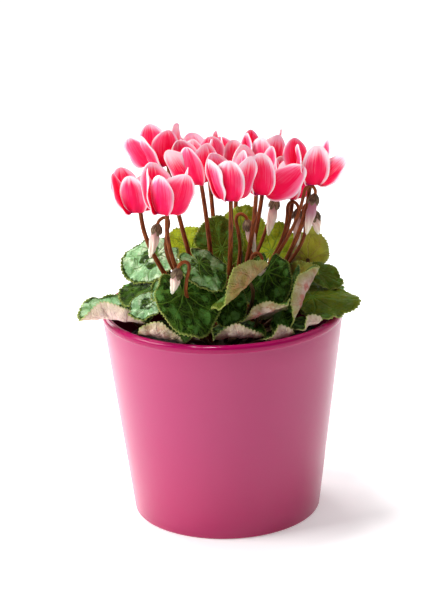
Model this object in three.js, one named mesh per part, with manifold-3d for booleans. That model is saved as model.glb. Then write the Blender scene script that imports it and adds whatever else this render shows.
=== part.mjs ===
// A cyclamen in a glazed flowerpot. The pot is filled with soil, the tuber sits half sunk in it, and every
// leaf, flower stem and bud stem grows from the tuber's crown. Millimetres, +Z up, the pot's foot at z = 0
// with its axis on Z, and the side that faces a viewer towards -Y.
import * as THREE from "three";
import { mergeVertices } from "three/addons/utils/BufferGeometryUtils.js";
import Module from "manifold-3d";

const wasm = await Module();
wasm.setup();

// Driving dimensions
const POT = {
  height: 124,
  footRadius: 55,
  rimRadius: 70,
  bandHeight: 4.3,
  wall: 4.2,
  floor: 6,
  footEdge: 1.8,
  segments: 36,
};
const SOIL = { top: 99, crumb: 1.2, segments: 24 };
const TUBER = { radius: 23, middle: 93.5, halfHeight: 13.5, segments: 12, rows: 7 };
const CLEARANCE = 0.3;
const LEAF = {
  thickness: 0.8,
  spokes: 14,
  fewSpokes: 12,
  smallSize: 24,
  rings: [0.4, 0.74, 1],
  tooth: 0.03,
  stalk: 1.15,
  spread: 0.3,
};
const PETAL = {
  thickness: 0.8,
  length: 24,
  width: 13,
  base: 3.4,
  tip: 6,
  rows: [0, 0.3, 0.58, 0.84, 1],
  cup: 1.2,
  twist: 20,
};
const COROLLA = { mouth: 4.4, crown: 3.7, height: 6, hollow: 3, segments: 6 };
const CALYX = { height: 3, radius: 3.9 };
const STEM = {
  flower: 1.3,
  bud: 1,
  sides: 5,
  reach: 6.9,
  drop: 5,
  steps: 3,
  spread: 0.22,
  budSpread: 0.115,
};
const BUD = { calyx: 5, width: 3.1, sides: 3, turn: 60 };

const COLOUR = {
  glaze: 0xb8326f,
  soil: 0x2a1d14,
  tuber: 0x5b4030,
  leaf: 0x3f6b3a,
  stem: 0x6d3a2a,
  petal: 0xf0527f,
  bud: 0xdba79a,
};

/**
 * One leaf: the point where its stalk meets the blade, the angles of heading (degrees from +X), pitch
 * (the tip's rise) and roll (the rise of its left half), and the length from that point to the tip. The
 * shape gives the angle by which the halves rise (cup), how far the margin hangs (dome) and waves, and
 * the places where it rolls over: [direction from the tip, start, radius, sweep], upwards if above zero.
 */
function leaf(at, [heading, pitch, roll], size, { cup = 0, dome = 0, wave = 1, rolls = [] } = {}) {
  return { at, heading, pitch, roll, size, cup, dome, wave, rolls };
}

// The leaves of each node. Those that share a node grow from one point of the tuber.
const LEAVES = {
  leaf_front_left: [leaf([-22, -46, 148], [303, -44, 0], 28, { cup: 3, dome: 3, wave: 1.2 })],
  leaf_inner_left: [leaf([-13, -28, 160], [320, -34, 8], 21, { dome: 2 })],
  leaf_folded: [
    leaf([14.5, -40, 152.5], [226, -24, 0], 27, { wave: 0.6, rolls: [[90, 1, 4, 105], [-90, 2, 6, -60]] }),
  ],
  leaf_dark_right: [leaf([26, -19, 150], [256, -56, 4], 23, { cup: 2, dome: 1 })],
  leaf_upper_left: [leaf([-37, 2, 156], [205, -24, -22], 24, { dome: 2 })],
  leaf_mid_left: [leaf([-38, -14, 143], [209, -20, -6], 24)],
  leaf_far_left: [leaf([-54, -26, 130.5], [188, 2, -14], 29, { rolls: [[75, 8, 4, 110]] })],
  leaf_mint: [leaf([-41, -34, 139], [228, -24, -8], 15, { cup: 6, dome: 1 })],
  leaf_left_curl: [leaf([-29, -33, 149], [214, -30, -10], 14, { wave: 0.8, rolls: [[80, 3, 3, 100]] })],
  leaf_rim_left: [leaf([-30, -40, 123.5], [238, -4, -8], 22, { rolls: [[10, 9, 4, 110]] })],
  leaf_silver: [leaf([3, -32, 139], [268, -54, 0], 17, { cup: 8 })],
  leaf_rolled_front: [
    leaf([19.5, -41.5, 133], [350, 20, 0], 20, { wave: 0.6, rolls: [[-80, 5, 4, 105], [90, 3, 4, -60]] }),
  ],
  leaf_rolled_right: [
    leaf([42, -23, 143], [241, -33, 0], 32, { wave: 0.8, rolls: [[90, 6, 4, 110], [-90, 2, 4, -80]] }),
  ],
  leaf_rim_front: [leaf([9, -41, 124], [268, -6, 0], 23, { rolls: [[0, 10, 5, 110]] })],
  leaf_rim_mid: [leaf([29, -48, 122], [300, 0, 0], 14, { rolls: [[0, 4.5, 3, 100]] })],
  leaf_rim_right: [leaf([44, -37, 125.5], [315, -2, 0], 15, { rolls: [[0, 6, 3.5, 100]] })],
  leaf_far_right: [
    leaf([52, -13, 132.5], [354, -6, 12], 27, { cup: -6 }),
    leaf([53, -22, 127.5], [335, -4, 0], 17),
  ],
  leaf_right_small: [leaf([57, 5, 141], [352, -24, 22], 15, { cup: 4, dome: 1 })],
  leaf_right_fold: [leaf([44, 2, 142], [280, 0, 0], 17, { wave: 0.8, rolls: [[0, 4, 4, 95]] })],
  leaf_upright: [leaf([51, 24, 143.5], [275, 80, 0], 19, { dome: -2, wave: 0.8 })],
  leaf_back_left: [leaf([0, 18.5, 153], [106, 56, -4], 21, { dome: 2 })],
  leaf_back_mid: [leaf([12, 31, 156.5], [84, 50, 0], 21, { dome: 2 })],
  leaf_back_small: [leaf([-17, 24, 152], [118, 40, -10], 18, { dome: 2 })],
  leaf_back_right: [leaf([31, 20, 150], [52, 46, 6], 18, { dome: 1 })],
  leaf_behind_middle: [leaf([-2, 36, 132], [92, 58, 0], 23, { cup: 6 })],
  leaf_behind_left: [
    leaf([-34, 36, 138], [140, -16, 0], 27, { dome: 2 }),
    leaf([-14, 53, 135], [106, -12, 0], 23, { dome: 2 }),
  ],
  leaf_behind_right: [
    leaf([20, 51, 136], [76, -16, 0], 26, { dome: 2 }),
    leaf([45, 37, 134], [38, -16, 0], 23, { dome: 2 }),
    leaf([56, 15, 131], [8, -12, 0], 18, { dome: 1 }),
  ],
};

// Each flower: the middle of its mouth, how far and to which side its top leans, the side where its
// stem passes, and how far each petal flares beyond the common curve, counted round from the stem.
const FLOWERS = {
  a: { at: [-46.5, -24, 190], lean: [4, 180], slit: 80, size: 0.98, flare: [0, 4, 0, 0, 0] },
  b: { at: [-31, -45, 194.5], lean: [6, 20], slit: 75, size: 1.06, flare: [0, 2, 4, 6, 0] },
  c: { at: [-33, 10, 207], lean: [8, 200], slit: 60, size: 0.95, flare: [4, 28, 4, 0, 0] },
  d: { at: [-12, -8, 201], lean: [8, 190], slit: 80, size: 1, flare: [0, 8, 0, 0, 0] },
  e: { at: [6, -42, 200.5], lean: [2, 90], slit: 90, size: 1.05, flare: [0, 0, -2, 0, 0] },
  f: { at: [22, -22, 198], lean: [4, 0], slit: 100, size: 1.06, flare: [0, 0, 0, 34, 0] },
  g: { at: [26, 25, 198], lean: [4, 0], slit: 85, size: 0.95, flare: [0, 0, 0, 0, 0] },
  h: { at: [52, -15, 201], lean: [3, 0], slit: 95, size: 1, flare: [0, 0, 0, 24, 0] },
  i: { at: [-9, 32, 198], lean: [6, 180], slit: 70, size: 0.9, flare: [0, 0, 0, 0, 0] },
  j: { at: [10, 46, 191], lean: [6, 90], slit: 90, size: 0.9, flare: [0, 0, 0, 0, 0] },
  k: { at: [41, 8, 186], lean: [6, 45], slit: 80, size: 0.95, flare: [0, 0, 0, 0, 0] },
};

// Each bud: the top of its calyx, how far and to which side its top leans, the side where its stem
// comes down, and its length from the calyx to the tip.
const BUDS = {
  left: { at: [-35, -30, 184], lean: [15, 0], stem: 10, length: 21 },
  front_left: { at: [-24, -53, 165], lean: [15, 0], stem: 8, length: 16 },
  middle: { at: [15, -10, 179], lean: [12, 180], stem: 180, length: 21 },
  middle_right: { at: [32, -2, 189], lean: [12, 0], stem: 90, length: 23 },
  right: { at: [45, 6, 180], lean: [2, 0], stem: 180, length: 23 },
  upper_right: { at: [54, -14, 194.5], lean: [12, 0], stem: 180, length: 25 },
  low_right: { at: [54, 2, 180], lean: [10, 180], stem: 180, length: 15 },
  young: { at: [23, -23, 158], lean: [10, 0], stem: 170, length: 9 },
};

/** A closed solid from a geometry, its shared corners merged and its flat triangles dropped. */
function solidOf(geometry) {
  const bare = geometry.clone();
  bare.deleteAttribute("normal");
  bare.deleteAttribute("uv");
  const merged = mergeVertices(bare, 1e-4);
  const corners = [];
  for (let i = 0; i < merged.index.count; i += 3) {
    const [a, b, c] = [0, 1, 2].map((k) => merged.index.getX(i + k));
    if (a !== b && b !== c && c !== a) corners.push(a, b, c);
  }
  return new wasm.Manifold(
    new wasm.Mesh({
      numProp: 3,
      vertProperties: new Float32Array(merged.attributes.position.array),
      triVerts: new Uint32Array(corners),
    }),
  );
}

/** The geometry of a solid, for its mesh in the scene. */
function geometryOf(solid) {
  const mesh = solid.getMesh();
  const geometry = new THREE.BufferGeometry();
  geometry.setAttribute("position", new THREE.BufferAttribute(Float32Array.from(mesh.vertProperties), 3));
  geometry.setIndex(new THREE.BufferAttribute(Uint32Array.from(mesh.triVerts), 1));
  geometry.computeVertexNormals();
  return geometry;
}

/** A sheet of the given thickness round a grid of points: rows of equal length and triangles over them. */
function sheet(points, triangles, rim, thickness) {
  const normals = points.map(() => new THREE.Vector3());
  for (const [a, b, c] of triangles) {
    const face = new THREE.Vector3().crossVectors(
      new THREE.Vector3().subVectors(points[b], points[a]),
      new THREE.Vector3().subVectors(points[c], points[a]),
    );
    for (const corner of [a, b, c]) normals[corner].add(face);
  }
  const positions = [];
  for (const side of [0.5, -0.5]) {
    points.forEach((point, k) => {
      const moved = point.clone().addScaledVector(normals[k].normalize(), side * thickness);
      positions.push(moved.x, moved.y, moved.z);
    });
  }
  const under = points.length;
  const index = [];
  for (const [a, b, c] of triangles) index.push(a, b, c, a + under, c + under, b + under);
  rim.forEach((a, k) => {
    const b = rim[(k + 1) % rim.length];
    index.push(a, a + under, b, b, a + under, b + under);
  });
  const geometry = new THREE.BufferGeometry();
  geometry.setAttribute("position", new THREE.Float32BufferAttribute(positions, 3));
  geometry.setIndex(index);
  return solidOf(geometry);
}

/** A smooth line through points that a rod follows step by step, one step from point to point. */
class Route extends THREE.CatmullRomCurve3 {
  getPointAt(share, target) {
    return this.getPoint(share, target);
  }

  getTangentAt(share, target) {
    return this.getTangent(share, target);
  }
}

/** A round rod through points, with flat ends. */
function rod(points, radius) {
  const section = new THREE.Shape();
  for (let k = 0; k < STEM.sides; k += 1) {
    const angle = (k * 2 * Math.PI) / STEM.sides;
    const corner = [radius * Math.cos(angle), radius * Math.sin(angle)];
    if (k === 0) section.moveTo(...corner);
    else section.lineTo(...corner);
  }
  const options = { extrudePath: new Route(points), steps: points.length - 1, bevelEnabled: false };
  return solidOf(new THREE.ExtrudeGeometry(section, options));
}

/** A turned solid about Z from [radius, height] points that run from the axis back to the axis. */
function turned(profile, segments) {
  const points = profile.map(([radius, height]) => new THREE.Vector2(radius, height));
  const geometry = new THREE.LatheGeometry(points, segments);
  geometry.rotateX(Math.PI / 2);
  return solidOf(geometry);
}

/** The height of the tuber's upper surface at a distance from the axis. */
function crownHeight(distance) {
  return TUBER.middle + TUBER.halfHeight * Math.sqrt(Math.max(0, 1 - (distance / TUBER.radius) ** 2));
}

/** Where a stalk that leads to a point leaves the tuber: nearer the axis the steeper it rises. */
function rootFor(at, share) {
  const target = new THREE.Vector2(at[0], at[1]);
  const distance = Math.min(target.length() * share, TUBER.radius * 0.78);
  target.setLength(distance);
  return new THREE.Vector3(target.x, target.y, crownHeight(distance) - 1);
}

/** The blade's outline: its reach at an angle from the tip, in shares of the length from stalk to tip. */
function reach(angle) {
  const body = 0.53 + 0.42 * Math.cos(angle / 2) ** 4;
  const tip = 0.05 * Math.exp(-((angle / 0.25) ** 2));
  const notch = 1 - 0.8 * Math.exp(-(((Math.PI - Math.abs(angle)) / 0.17) ** 2));
  return (body + tip) * notch;
}

/** Rolls a point that lies past a line across the blade round a cylinder. */
function rollOver(point, [direction, start, radius, sweep]) {
  const angle = THREE.MathUtils.degToRad(direction);
  const past = point.x * Math.cos(angle) + point.y * Math.sin(angle) - start;
  if (past <= 0) return;
  const side = Math.sign(sweep);
  const turn = Math.min(past / radius, THREE.MathUtils.degToRad(Math.abs(sweep)));
  const level = radius - side * point.z;
  const rest = past - radius * turn;
  const forward = level * Math.sin(turn) + rest * Math.cos(turn);
  point.x += Math.cos(angle) * (forward - past);
  point.y += Math.sin(angle) * (forward - past);
  point.z = side * (radius - level * Math.cos(turn) + rest * Math.sin(turn));
}

/** A point of the blade in the leaf's own frame, from its angle and its share of the reach. */
function bladePoint(leaf, angle, share, edge) {
  const distance = (leaf.size * reach(angle) + edge) * share;
  const point = new THREE.Vector3(distance * Math.cos(angle), distance * Math.sin(angle), 0);
  const rise = THREE.MathUtils.degToRad(leaf.cup);
  const out = distance / leaf.size;
  point.z = Math.abs(point.y) * Math.sin(rise) - leaf.dome * out ** 2;
  point.z += leaf.wave * out ** 2 * Math.sin(6 * angle + leaf.size);
  point.y *= Math.cos(rise);
  for (const rolled of leaf.rolls) rollOver(point, rolled);
  return point;
}

/** One leaf: a toothed heart-shaped blade, waved and rolled, on a stalk from the tuber. */
function leafSolid(leaf, root, grow) {
  const { rings } = LEAF;
  const spokes = leaf.size < LEAF.smallSize ? LEAF.fewSpokes : LEAF.spokes;
  const points = [new THREE.Vector3()];
  rings.forEach((share, ring) => {
    const step = ring === 0 ? 2 : 1;
    for (let k = 0; k < spokes; k += step) {
      const angle = ((k * 2) / spokes - 1) * Math.PI;
      const tooth = share === 1 && k > 0 ? LEAF.tooth * leaf.size * (k % 2 ? 0.5 : -0.5) : 0;
      points.push(bladePoint(leaf, angle, share, tooth + grow));
    }
  });
  const triangles = [];
  const [inner, middle, outer] = [1, 1 + spokes / 2, 1 + spokes * 1.5];
  for (let k = 0; k < spokes; k += 2) {
    const [here, there] = [inner + k / 2, inner + ((k + 2) % spokes) / 2];
    const last = middle + ((k + 2) % spokes);
    triangles.push([0, here, there], [here, middle + k, middle + k + 1]);
    triangles.push([here, middle + k + 1, there], [there, middle + k + 1, last]);
  }
  for (let k = 0; k < spokes; k += 1) {
    const next = (k + 1) % spokes;
    triangles.push([middle + k, outer + k, outer + next], [middle + k, outer + next, middle + next]);
  }
  const rim = Array.from({ length: spokes }, (_, k) => outer + k);
  const place = new THREE.Matrix4().makeRotationFromEuler(
    new THREE.Euler(
      THREE.MathUtils.degToRad(leaf.roll),
      -THREE.MathUtils.degToRad(leaf.pitch),
      THREE.MathUtils.degToRad(leaf.heading),
      "ZYX",
    ),
  );
  place.setPosition(...leaf.at);
  for (const point of points) point.applyMatrix4(place);
  const blade = sheet(points, triangles, rim, LEAF.thickness + 2 * grow);
  const top = new THREE.Vector3(...leaf.at);
  const length = top.distanceTo(root);
  const below = new THREE.Vector3(-0.35, 0, -1).transformDirection(place);
  const line = new THREE.CubicBezierCurve3(
    root,
    root.clone().add(new THREE.Vector3(root.x * 0.02, root.y * 0.02, 0.3).multiplyScalar(length)),
    top.clone().addScaledVector(below, length * 0.33),
    top,
  );
  return blade.add(rod(line.getPoints(STEM.steps), LEAF.stalk + grow));
}

/** A point of a petal in the flower's own frame: how far along it, and where across it from -1 to 1. */
function petalPoint(along, across, size, flare, grow) {
  const { mouth } = COROLLA;
  const line = new THREE.CubicBezierCurve3(
    new THREE.Vector3(mouth - 0.6, 0, 1.2),
    new THREE.Vector3(mouth + 1, 0, -2.4),
    new THREE.Vector3(11.5 * size, 0, PETAL.length * size * 0.4),
    new THREE.Vector3(11 * size, 0, PETAL.length * size + grow),
  );
  const middle = line.getPoint(along);
  const tangent = line.getTangent(along);
  const outward = new THREE.Vector3(tangent.z, 0, -tangent.x);
  const swell = Math.max(0, Math.sin(Math.PI * along ** 1.8)) ** 0.65;
  const broad = size * (PETAL.width * swell + PETAL.tip * along ** 8) + PETAL.base * (1 - along);
  const half = broad / 2 + grow;
  const turn = THREE.MathUtils.degToRad(PETAL.twist);
  const point = middle.clone();
  point.y += across * half * Math.cos(turn);
  point.addScaledVector(outward, across * half * Math.sin(turn));
  point.addScaledVector(outward, -PETAL.cup * (across * half * 2 / PETAL.width) ** 2);
  const hinge = new THREE.Vector3(COROLLA.mouth, 0, 0);
  point.sub(hinge).applyAxisAngle(new THREE.Vector3(0, 1, 0), THREE.MathUtils.degToRad(flare)).add(hinge);
  return point;
}

/** One petal as a sheet, two strips wide with a blunt round tip. */
function petalSolid(size, flare, grow) {
  const points = [];
  for (const along of PETAL.rows) {
    for (const across of [-1, 0, 1]) points.push(petalPoint(along, across, size, flare, grow));
  }
  const triangles = [];
  const last = PETAL.rows.length - 1;
  for (let row = 0; row < last; row += 1) {
    for (const column of [0, 1]) {
      const corner = row * 3 + column;
      triangles.push([corner, corner + 1, corner + 4], [corner, corner + 4, corner + 3]);
    }
  }
  const left = PETAL.rows.map((_, row) => row * 3);
  const right = left.map((corner) => corner + 2);
  const rim = [1, ...right, last * 3 + 1, ...left.reverse()];
  return sheet(points, triangles, rim, PETAL.thickness + 2 * grow);
}

/** The matrix that takes a flower from its own frame, its stem side on +X, to its place. */
function standing(at, [tilt, side], turn) {
  const radians = THREE.MathUtils.degToRad;
  const axis = new THREE.Vector3(-Math.sin(radians(side)), Math.cos(radians(side)), 0);
  const place = new THREE.Matrix4().makeRotationAxis(axis, radians(tilt));
  place.multiply(new THREE.Matrix4().makeRotationZ(radians(turn)));
  place.setPosition(...at);
  return place;
}

/** A solid moved by a matrix. */
function moved(solid, matrix) {
  const geometry = geometryOf(solid);
  geometry.applyMatrix4(matrix);
  return solidOf(geometry);
}

/** One bloom: a short tube with its mouth down and five petals swept up, open where the stem passes. */
function bloomSolid(flower, grow = 0) {
  const { mouth, crown, height, hollow, segments } = COROLLA;
  let bloom = turned(
    [
      [0, hollow - grow],
      [mouth + grow, -grow],
      [crown + grow, height + grow],
      [0, height + grow],
    ],
    segments,
  );
  flower.flare.forEach((flare, k) => {
    const turn = new THREE.Matrix4().makeRotationZ(THREE.MathUtils.degToRad(56 + 62 * k));
    bloom = bloom.add(moved(petalSolid(flower.size, flare, grow), turn));
  });
  return moved(bloom, standing(flower.at, flower.lean, flower.slit));
}

/** The points of a stem that rises from the tuber to a hook, whose points come in their own frame. */
function stemPoints(place, hook, share) {
  const top = hook.map(([x, z]) => new THREE.Vector3(x, 0, z).applyMatrix4(place));
  const down = new THREE.Vector3(0, 0, -1).transformDirection(place);
  const root = rootFor(top[0].toArray(), share);
  const length = top[0].distanceTo(root);
  const line = new THREE.CubicBezierCurve3(
    root,
    root.clone().add(new THREE.Vector3(root.x * 0.012, root.y * 0.012, 0.3).multiplyScalar(length)),
    top[0].clone().addScaledVector(down, length * 0.3),
    top[0],
  );
  return [...line.getPoints(STEM.steps), ...top.slice(1)];
}

/** The stem of a flower with its hook and the calyx that holds the tube. */
function flowerStemSolid(flower, grow = 0) {
  const place = standing(flower.at, flower.lean, flower.slit);
  const seat = COROLLA.height + CLEARANCE;
  const top = seat + CALYX.height;
  const { reach: out, drop } = STEM;
  const hook = [
    [out, -drop],
    [out, top - 2],
    [out * 0.85, top + 1.3],
    [out * 0.5, top + 2.9],
    [out * 0.14, top + 1.4],
    [0, top - 1],
  ];
  const calyx = turned(
    [
      [0, seat - grow],
      [CALYX.radius + grow, seat - grow],
      [CALYX.radius * 0.8 + grow, seat + CALYX.height * 0.6],
      [0, top + grow],
    ],
    COROLLA.segments,
  );
  return rod(stemPoints(place, hook, STEM.spread), STEM.flower + grow).add(moved(calyx, place));
}

/** One closed bud: its stem with the hook, the calyx and the petals furled in a twisted cone. */
function budSolid(bud, grow = 0) {
  const place = standing(bud.at, bud.lean, bud.stem);
  const { calyx, width, sides, turn } = BUD;
  const rows = [
    [0.5, 0],
    [0.9, -calyx * 0.4],
    [1, -calyx * 0.8],
    [0.72, -calyx * 1.15],
    [0.86, -bud.length * 0.45],
    [0.6, -bud.length * 0.75],
    [0.14, -bud.length],
  ];
  const section = 2 * sides;
  const points = [];
  rows.forEach(([share, z], row) => {
    for (let k = 0; k < section; k += 1) {
      const angle = (k * Math.PI) / sides + THREE.MathUtils.degToRad((turn * row) / (rows.length - 1));
      const radius = share * width * (k % 2 ? 0.8 : 1) + grow;
      points.push(new THREE.Vector3(radius * Math.cos(angle), radius * Math.sin(angle), z));
    }
  });
  const positions = [...points, new THREE.Vector3(0, 0, grow), new THREE.Vector3(0, 0, -bud.length - grow)];
  const index = [];
  const [first, last] = [points.length, points.length + 1];
  for (let k = 0; k < section; k += 1) {
    const next = (k + 1) % section;
    for (let row = 0; row < rows.length - 1; row += 1) {
      const [upper, lower] = [row * section, (row + 1) * section];
      index.push(upper + k, lower + k, lower + next, upper + k, lower + next, upper + next);
    }
    const end = (rows.length - 1) * section;
    index.push(first, k, next, last, end + next, end + k);
  }
  const geometry = new THREE.BufferGeometry().setFromPoints(positions);
  geometry.setIndex(index);
  const body = solidOf(geometry);
  const out = STEM.reach * 0.9;
  const hook = [
    [out, -STEM.drop],
    [out * 0.97, 1],
    [out * 0.72, 3.8],
    [out * 0.34, 4],
    [0, 1.5],
    [0, -1.5],
  ];
  return moved(body, place).add(rod(stemPoints(place, hook, STEM.budSpread), STEM.bud + grow));
}

/** The pot: a tapered cup with a raised band round its lip. */
function potSolid(grow = 0) {
  const { height, footRadius, rimRadius, bandHeight, wall, floor, footEdge } = POT;
  const band = height - bandHeight;
  const slope = (rimRadius - footRadius) / band;
  const side = (z) => footRadius + slope * z;
  const proud = 0.5;
  return turned(
    [
      [0, -grow],
      [footRadius - footEdge, -grow],
      [side(footEdge * 0.3) - footEdge * 0.3 + grow, footEdge * 0.3],
      [side(footEdge) + grow, footEdge],
      [side(band) + grow, band],
      [rimRadius + proud + grow, band + 0.6],
      [rimRadius + proud + grow, height - 1],
      [rimRadius - 0.7 + grow, height + grow],
      [rimRadius - wall + 0.7 - grow, height + grow],
      [rimRadius - wall - grow, height - 1.2],
      [side(floor) - wall - grow, floor + 4],
      [side(floor) - wall - 4 - grow, floor + grow],
      [0, floor + grow],
    ],
    POT.segments,
  );
}

/** The radius of the pot's inner wall at a height above its floor's corner. */
function innerRadius(z) {
  const share = (z - POT.floor - 4) / (POT.height - 1.2 - POT.floor - 4);
  const slope = (POT.rimRadius - POT.footRadius) / (POT.height - POT.bandHeight);
  const low = POT.footRadius + slope * POT.floor;
  return THREE.MathUtils.lerp(low - POT.wall, POT.rimRadius - POT.wall, share);
}

/** The soil: it fills the pot to its top, which is crumbly and a little higher round the tuber. */
function soilSolid(grow = 0) {
  const gap = CLEARANCE + 0.25 - grow;
  const bottom = POT.floor + 4.2;
  const top = SOIL.top + grow;
  const rings = [0.96, 0.8, 0.62, 0.44];
  const profile = [
    [0, bottom - 3.6],
    [innerRadius(bottom) - 4 - gap, bottom - 3.6],
    [innerRadius(bottom) - gap, bottom],
    [innerRadius(top) - gap, top],
    ...rings.map((share) => [innerRadius(top) * share, top]),
    [0, top],
  ];
  const geometry = new THREE.LatheGeometry(
    profile.map(([radius, z]) => new THREE.Vector2(radius, z)),
    SOIL.segments,
  );
  geometry.rotateX(Math.PI / 2);
  const position = geometry.attributes.position;
  for (let k = 0; k < position.count; k += 1) {
    const [x, y, z] = [position.getX(k), position.getY(k), position.getZ(k)];
    const inside = Math.hypot(x, y) < innerRadius(top) * 0.97;
    if (z > top - 0.01 && inside) {
      const lumps = Math.sin(x * 0.83 + y * 0.31) * Math.sin(y * 0.71 - x * 0.37);
      const crumbs = 0.4 * Math.sin(x * 1.9 + y * 1.3);
      position.setZ(k, z + SOIL.crumb * (lumps + crumbs));
    }
  }
  return solidOf(geometry);
}

/** The tuber: a flattened corky ball, a little knobbly round its side. */
function tuberSolid(grow = 0) {
  const geometry = new THREE.SphereGeometry(1, TUBER.segments, TUBER.rows);
  geometry.rotateX(Math.PI / 2);
  geometry.scale(TUBER.radius + grow, TUBER.radius + grow, TUBER.halfHeight + grow);
  geometry.translate(0, 0, TUBER.middle);
  return solidOf(geometry);
}

const group = new THREE.Group();
const seated = [];

/** Whether the boxes of two solids come within the clearance of each other. */
function near(one, other) {
  const [a, b] = [one.boundingBox(), other.boundingBox()];
  return [0, 1, 2].every((k) => a.min[k] <= b.max[k] && b.min[k] <= a.max[k]);
}

/** Adds a piece, cut clear of the pieces that were seated before it, as a mesh with its own material. */
function seat(name, make, colour, roughness) {
  let solid = make(0);
  for (const other of seated) {
    if (near(solid, other.wide)) solid = solid.subtract(other.wide);
  }
  const bodies = solid.decompose();
  bodies.sort((one, other) => other.volume() - one.volume());
  solid = bodies[0];
  seated.push({ wide: make(CLEARANCE) });
  const material = new THREE.MeshStandardMaterial({ color: colour, roughness, metalness: 0 });
  const mesh = new THREE.Mesh(geometryOf(solid), material);
  mesh.name = name;
  group.add(mesh);
}

seat("pot", potSolid, COLOUR.glaze, 0.35);
seat("tuber", tuberSolid, COLOUR.tuber, 0.9);
seat("soil", soilSolid, COLOUR.soil, 1);
for (const [name, flower] of Object.entries(FLOWERS)) {
  seat(`flower_stem_${name}`, (grow) => flowerStemSolid(flower, grow), COLOUR.stem, 0.6);
  seat(`bloom_${name}`, (grow) => bloomSolid(flower, grow), COLOUR.petal, 0.5);
}
for (const [name, bud] of Object.entries(BUDS)) {
  seat(`bud_${name}`, (grow) => budSolid(bud, grow), COLOUR.bud, 0.6);
}
for (const [name, leaves] of Object.entries(LEAVES)) {
  const root = rootFor(leaves[0].at, LEAF.spread);
  const grown = (grow) => leaves.map((blade) => leafSolid(blade, root, grow));
  seat(name, (grow) => grown(grow).reduce((all, one) => all.add(one)), COLOUR.leaf, 0.6);
}

export default group;
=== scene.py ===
"""A mini cyclamen in bloom in a glazed flowerpot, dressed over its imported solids."""

import logging
import math
from dataclasses import dataclass, field
from enum import Enum
from typing import Callable, Sequence

import bmesh
import bpy
from mathutils import Euler, Matrix, Vector, noise


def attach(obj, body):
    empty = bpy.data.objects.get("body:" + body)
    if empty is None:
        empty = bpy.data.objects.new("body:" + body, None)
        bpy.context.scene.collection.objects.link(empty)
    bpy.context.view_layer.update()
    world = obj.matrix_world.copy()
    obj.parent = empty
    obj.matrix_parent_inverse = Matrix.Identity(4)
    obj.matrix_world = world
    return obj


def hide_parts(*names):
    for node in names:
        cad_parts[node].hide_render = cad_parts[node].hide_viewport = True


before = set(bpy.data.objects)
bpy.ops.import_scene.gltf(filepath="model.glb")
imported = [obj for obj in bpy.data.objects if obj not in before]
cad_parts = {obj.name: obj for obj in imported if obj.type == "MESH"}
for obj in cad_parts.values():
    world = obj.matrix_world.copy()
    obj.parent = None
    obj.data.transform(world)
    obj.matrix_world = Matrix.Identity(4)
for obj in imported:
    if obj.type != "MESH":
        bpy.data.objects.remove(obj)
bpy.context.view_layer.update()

log = logging.getLogger("cyclamen")

MM = 0.001
TURN = 2 * math.pi
GOLDEN_TURN = 2.39996
MERGE = 0.00001
UP = Vector((0.0, 0.0, 1.0))

SOIL_CELLS = (72, 50)
PETAL_CELLS = (18, 28)
THROAT_CELLS = (40, 24)
BUD_CELLS = (40, 30)
CALYX_CELLS = (60, 10)
BLADE_ROWS = 16

Triple = tuple[float, float, float]
Colour = Triple
Material = bpy.types.Material
Placer = Callable[[float, float], Vector]


class Part(Enum):
    """The material slot of the record that a piece takes its finish from."""

    GLAZE = "glaze"
    SOIL = "soil"
    TUBER = "tuber"
    LEAF = "leaf"
    STEM = "stem"
    PETAL = "petal"
    BUD = "bud"


class Face(Enum):
    """The side of a thin sheet."""

    TOP = 1.0
    UNDER = 0.0


# Curves


def polar(radius: float, angle: float, z: float = 0.0) -> Vector:
    """The point at a radius, an angle and a height."""
    return Vector((radius * math.cos(angle), radius * math.sin(angle), z))


def bezier(points: Sequence[Vector], share: float) -> Vector:
    """A point of a cubic curve.

    Args:
        points: The four control points.
        share: How far along the curve, from 0 to 1.

    Returns:
        The point.
    """
    rest = 1.0 - share
    return (
        points[0] * rest**3
        + points[1] * (3 * rest**2 * share)
        + points[2] * (3 * rest * share**2)
        + points[3] * share**3
    )


def smooth_route(points: Sequence[Vector], steps: int) -> list[Vector]:
    """A smooth line through points.

    Args:
        points: The points that the line passes.
        steps: The number of steps from each point to the next.

    Returns:
        The points of the line, the given ones among them.
    """
    route: list[Vector] = []
    last = len(points) - 1
    for k in range(last):
        before = points[max(k - 1, 0)]
        start, end = points[k], points[k + 1]
        after = points[min(k + 2, last)]
        for step in range(steps):
            t = step / steps
            square = 2 * before - 5 * start + 4 * end - after
            cube = 3 * start - before - 3 * end + after
            bend = 2 * start + (end - before) * t + square * t**2 + cube * t**3
            route.append(0.5 * bend)
    route.append(points[last].copy())
    return route


def blend(low: float, high: float, value: float) -> float:
    """A smooth rise from 0 at low to 1 at high."""
    share = min(max((value - low) / (high - low), 0.0), 1.0)
    return share * share * (3 - 2 * share)


def between(table: Sequence[tuple[float, float]], key: float) -> float:
    """The value of a table at a key, smooth between its rows.

    Args:
        table: Its rows, each a key and a value.
        key: The key.

    Returns:
        The value.
    """
    for (low, start), (high, end) in zip(table, table[1:]):
        if key <= high:
            return start + (end - start) * blend(low, high, key)
    return table[-1][1]


# Meshes


def show(name: str, data: bpy.types.ID) -> bpy.types.Object:
    """Puts a new object in the scene.

    Args:
        name: Its name.
        data: The mesh, the camera or the light that it shows.

    Returns:
        The object.
    """
    shown = bpy.data.objects.new(name, data)
    bpy.context.scene.collection.objects.link(shown)
    return shown


@dataclass(frozen=True)
class Patch:
    """A grid that is bent into its place.

    Args:
        cells: The number of cells round or across, and along.
        place: The place of a corner, from its two shares.
        flat: What the finish reads at a corner, from its two shares.
        slot: The number of the finish.
        marks: Three values that the finish reads, the same all over.
    """

    cells: tuple[int, int]
    place: Placer
    flat: Placer
    slot: int = 0
    marks: Triple = (0.0, 0.0, 0.0)


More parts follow.
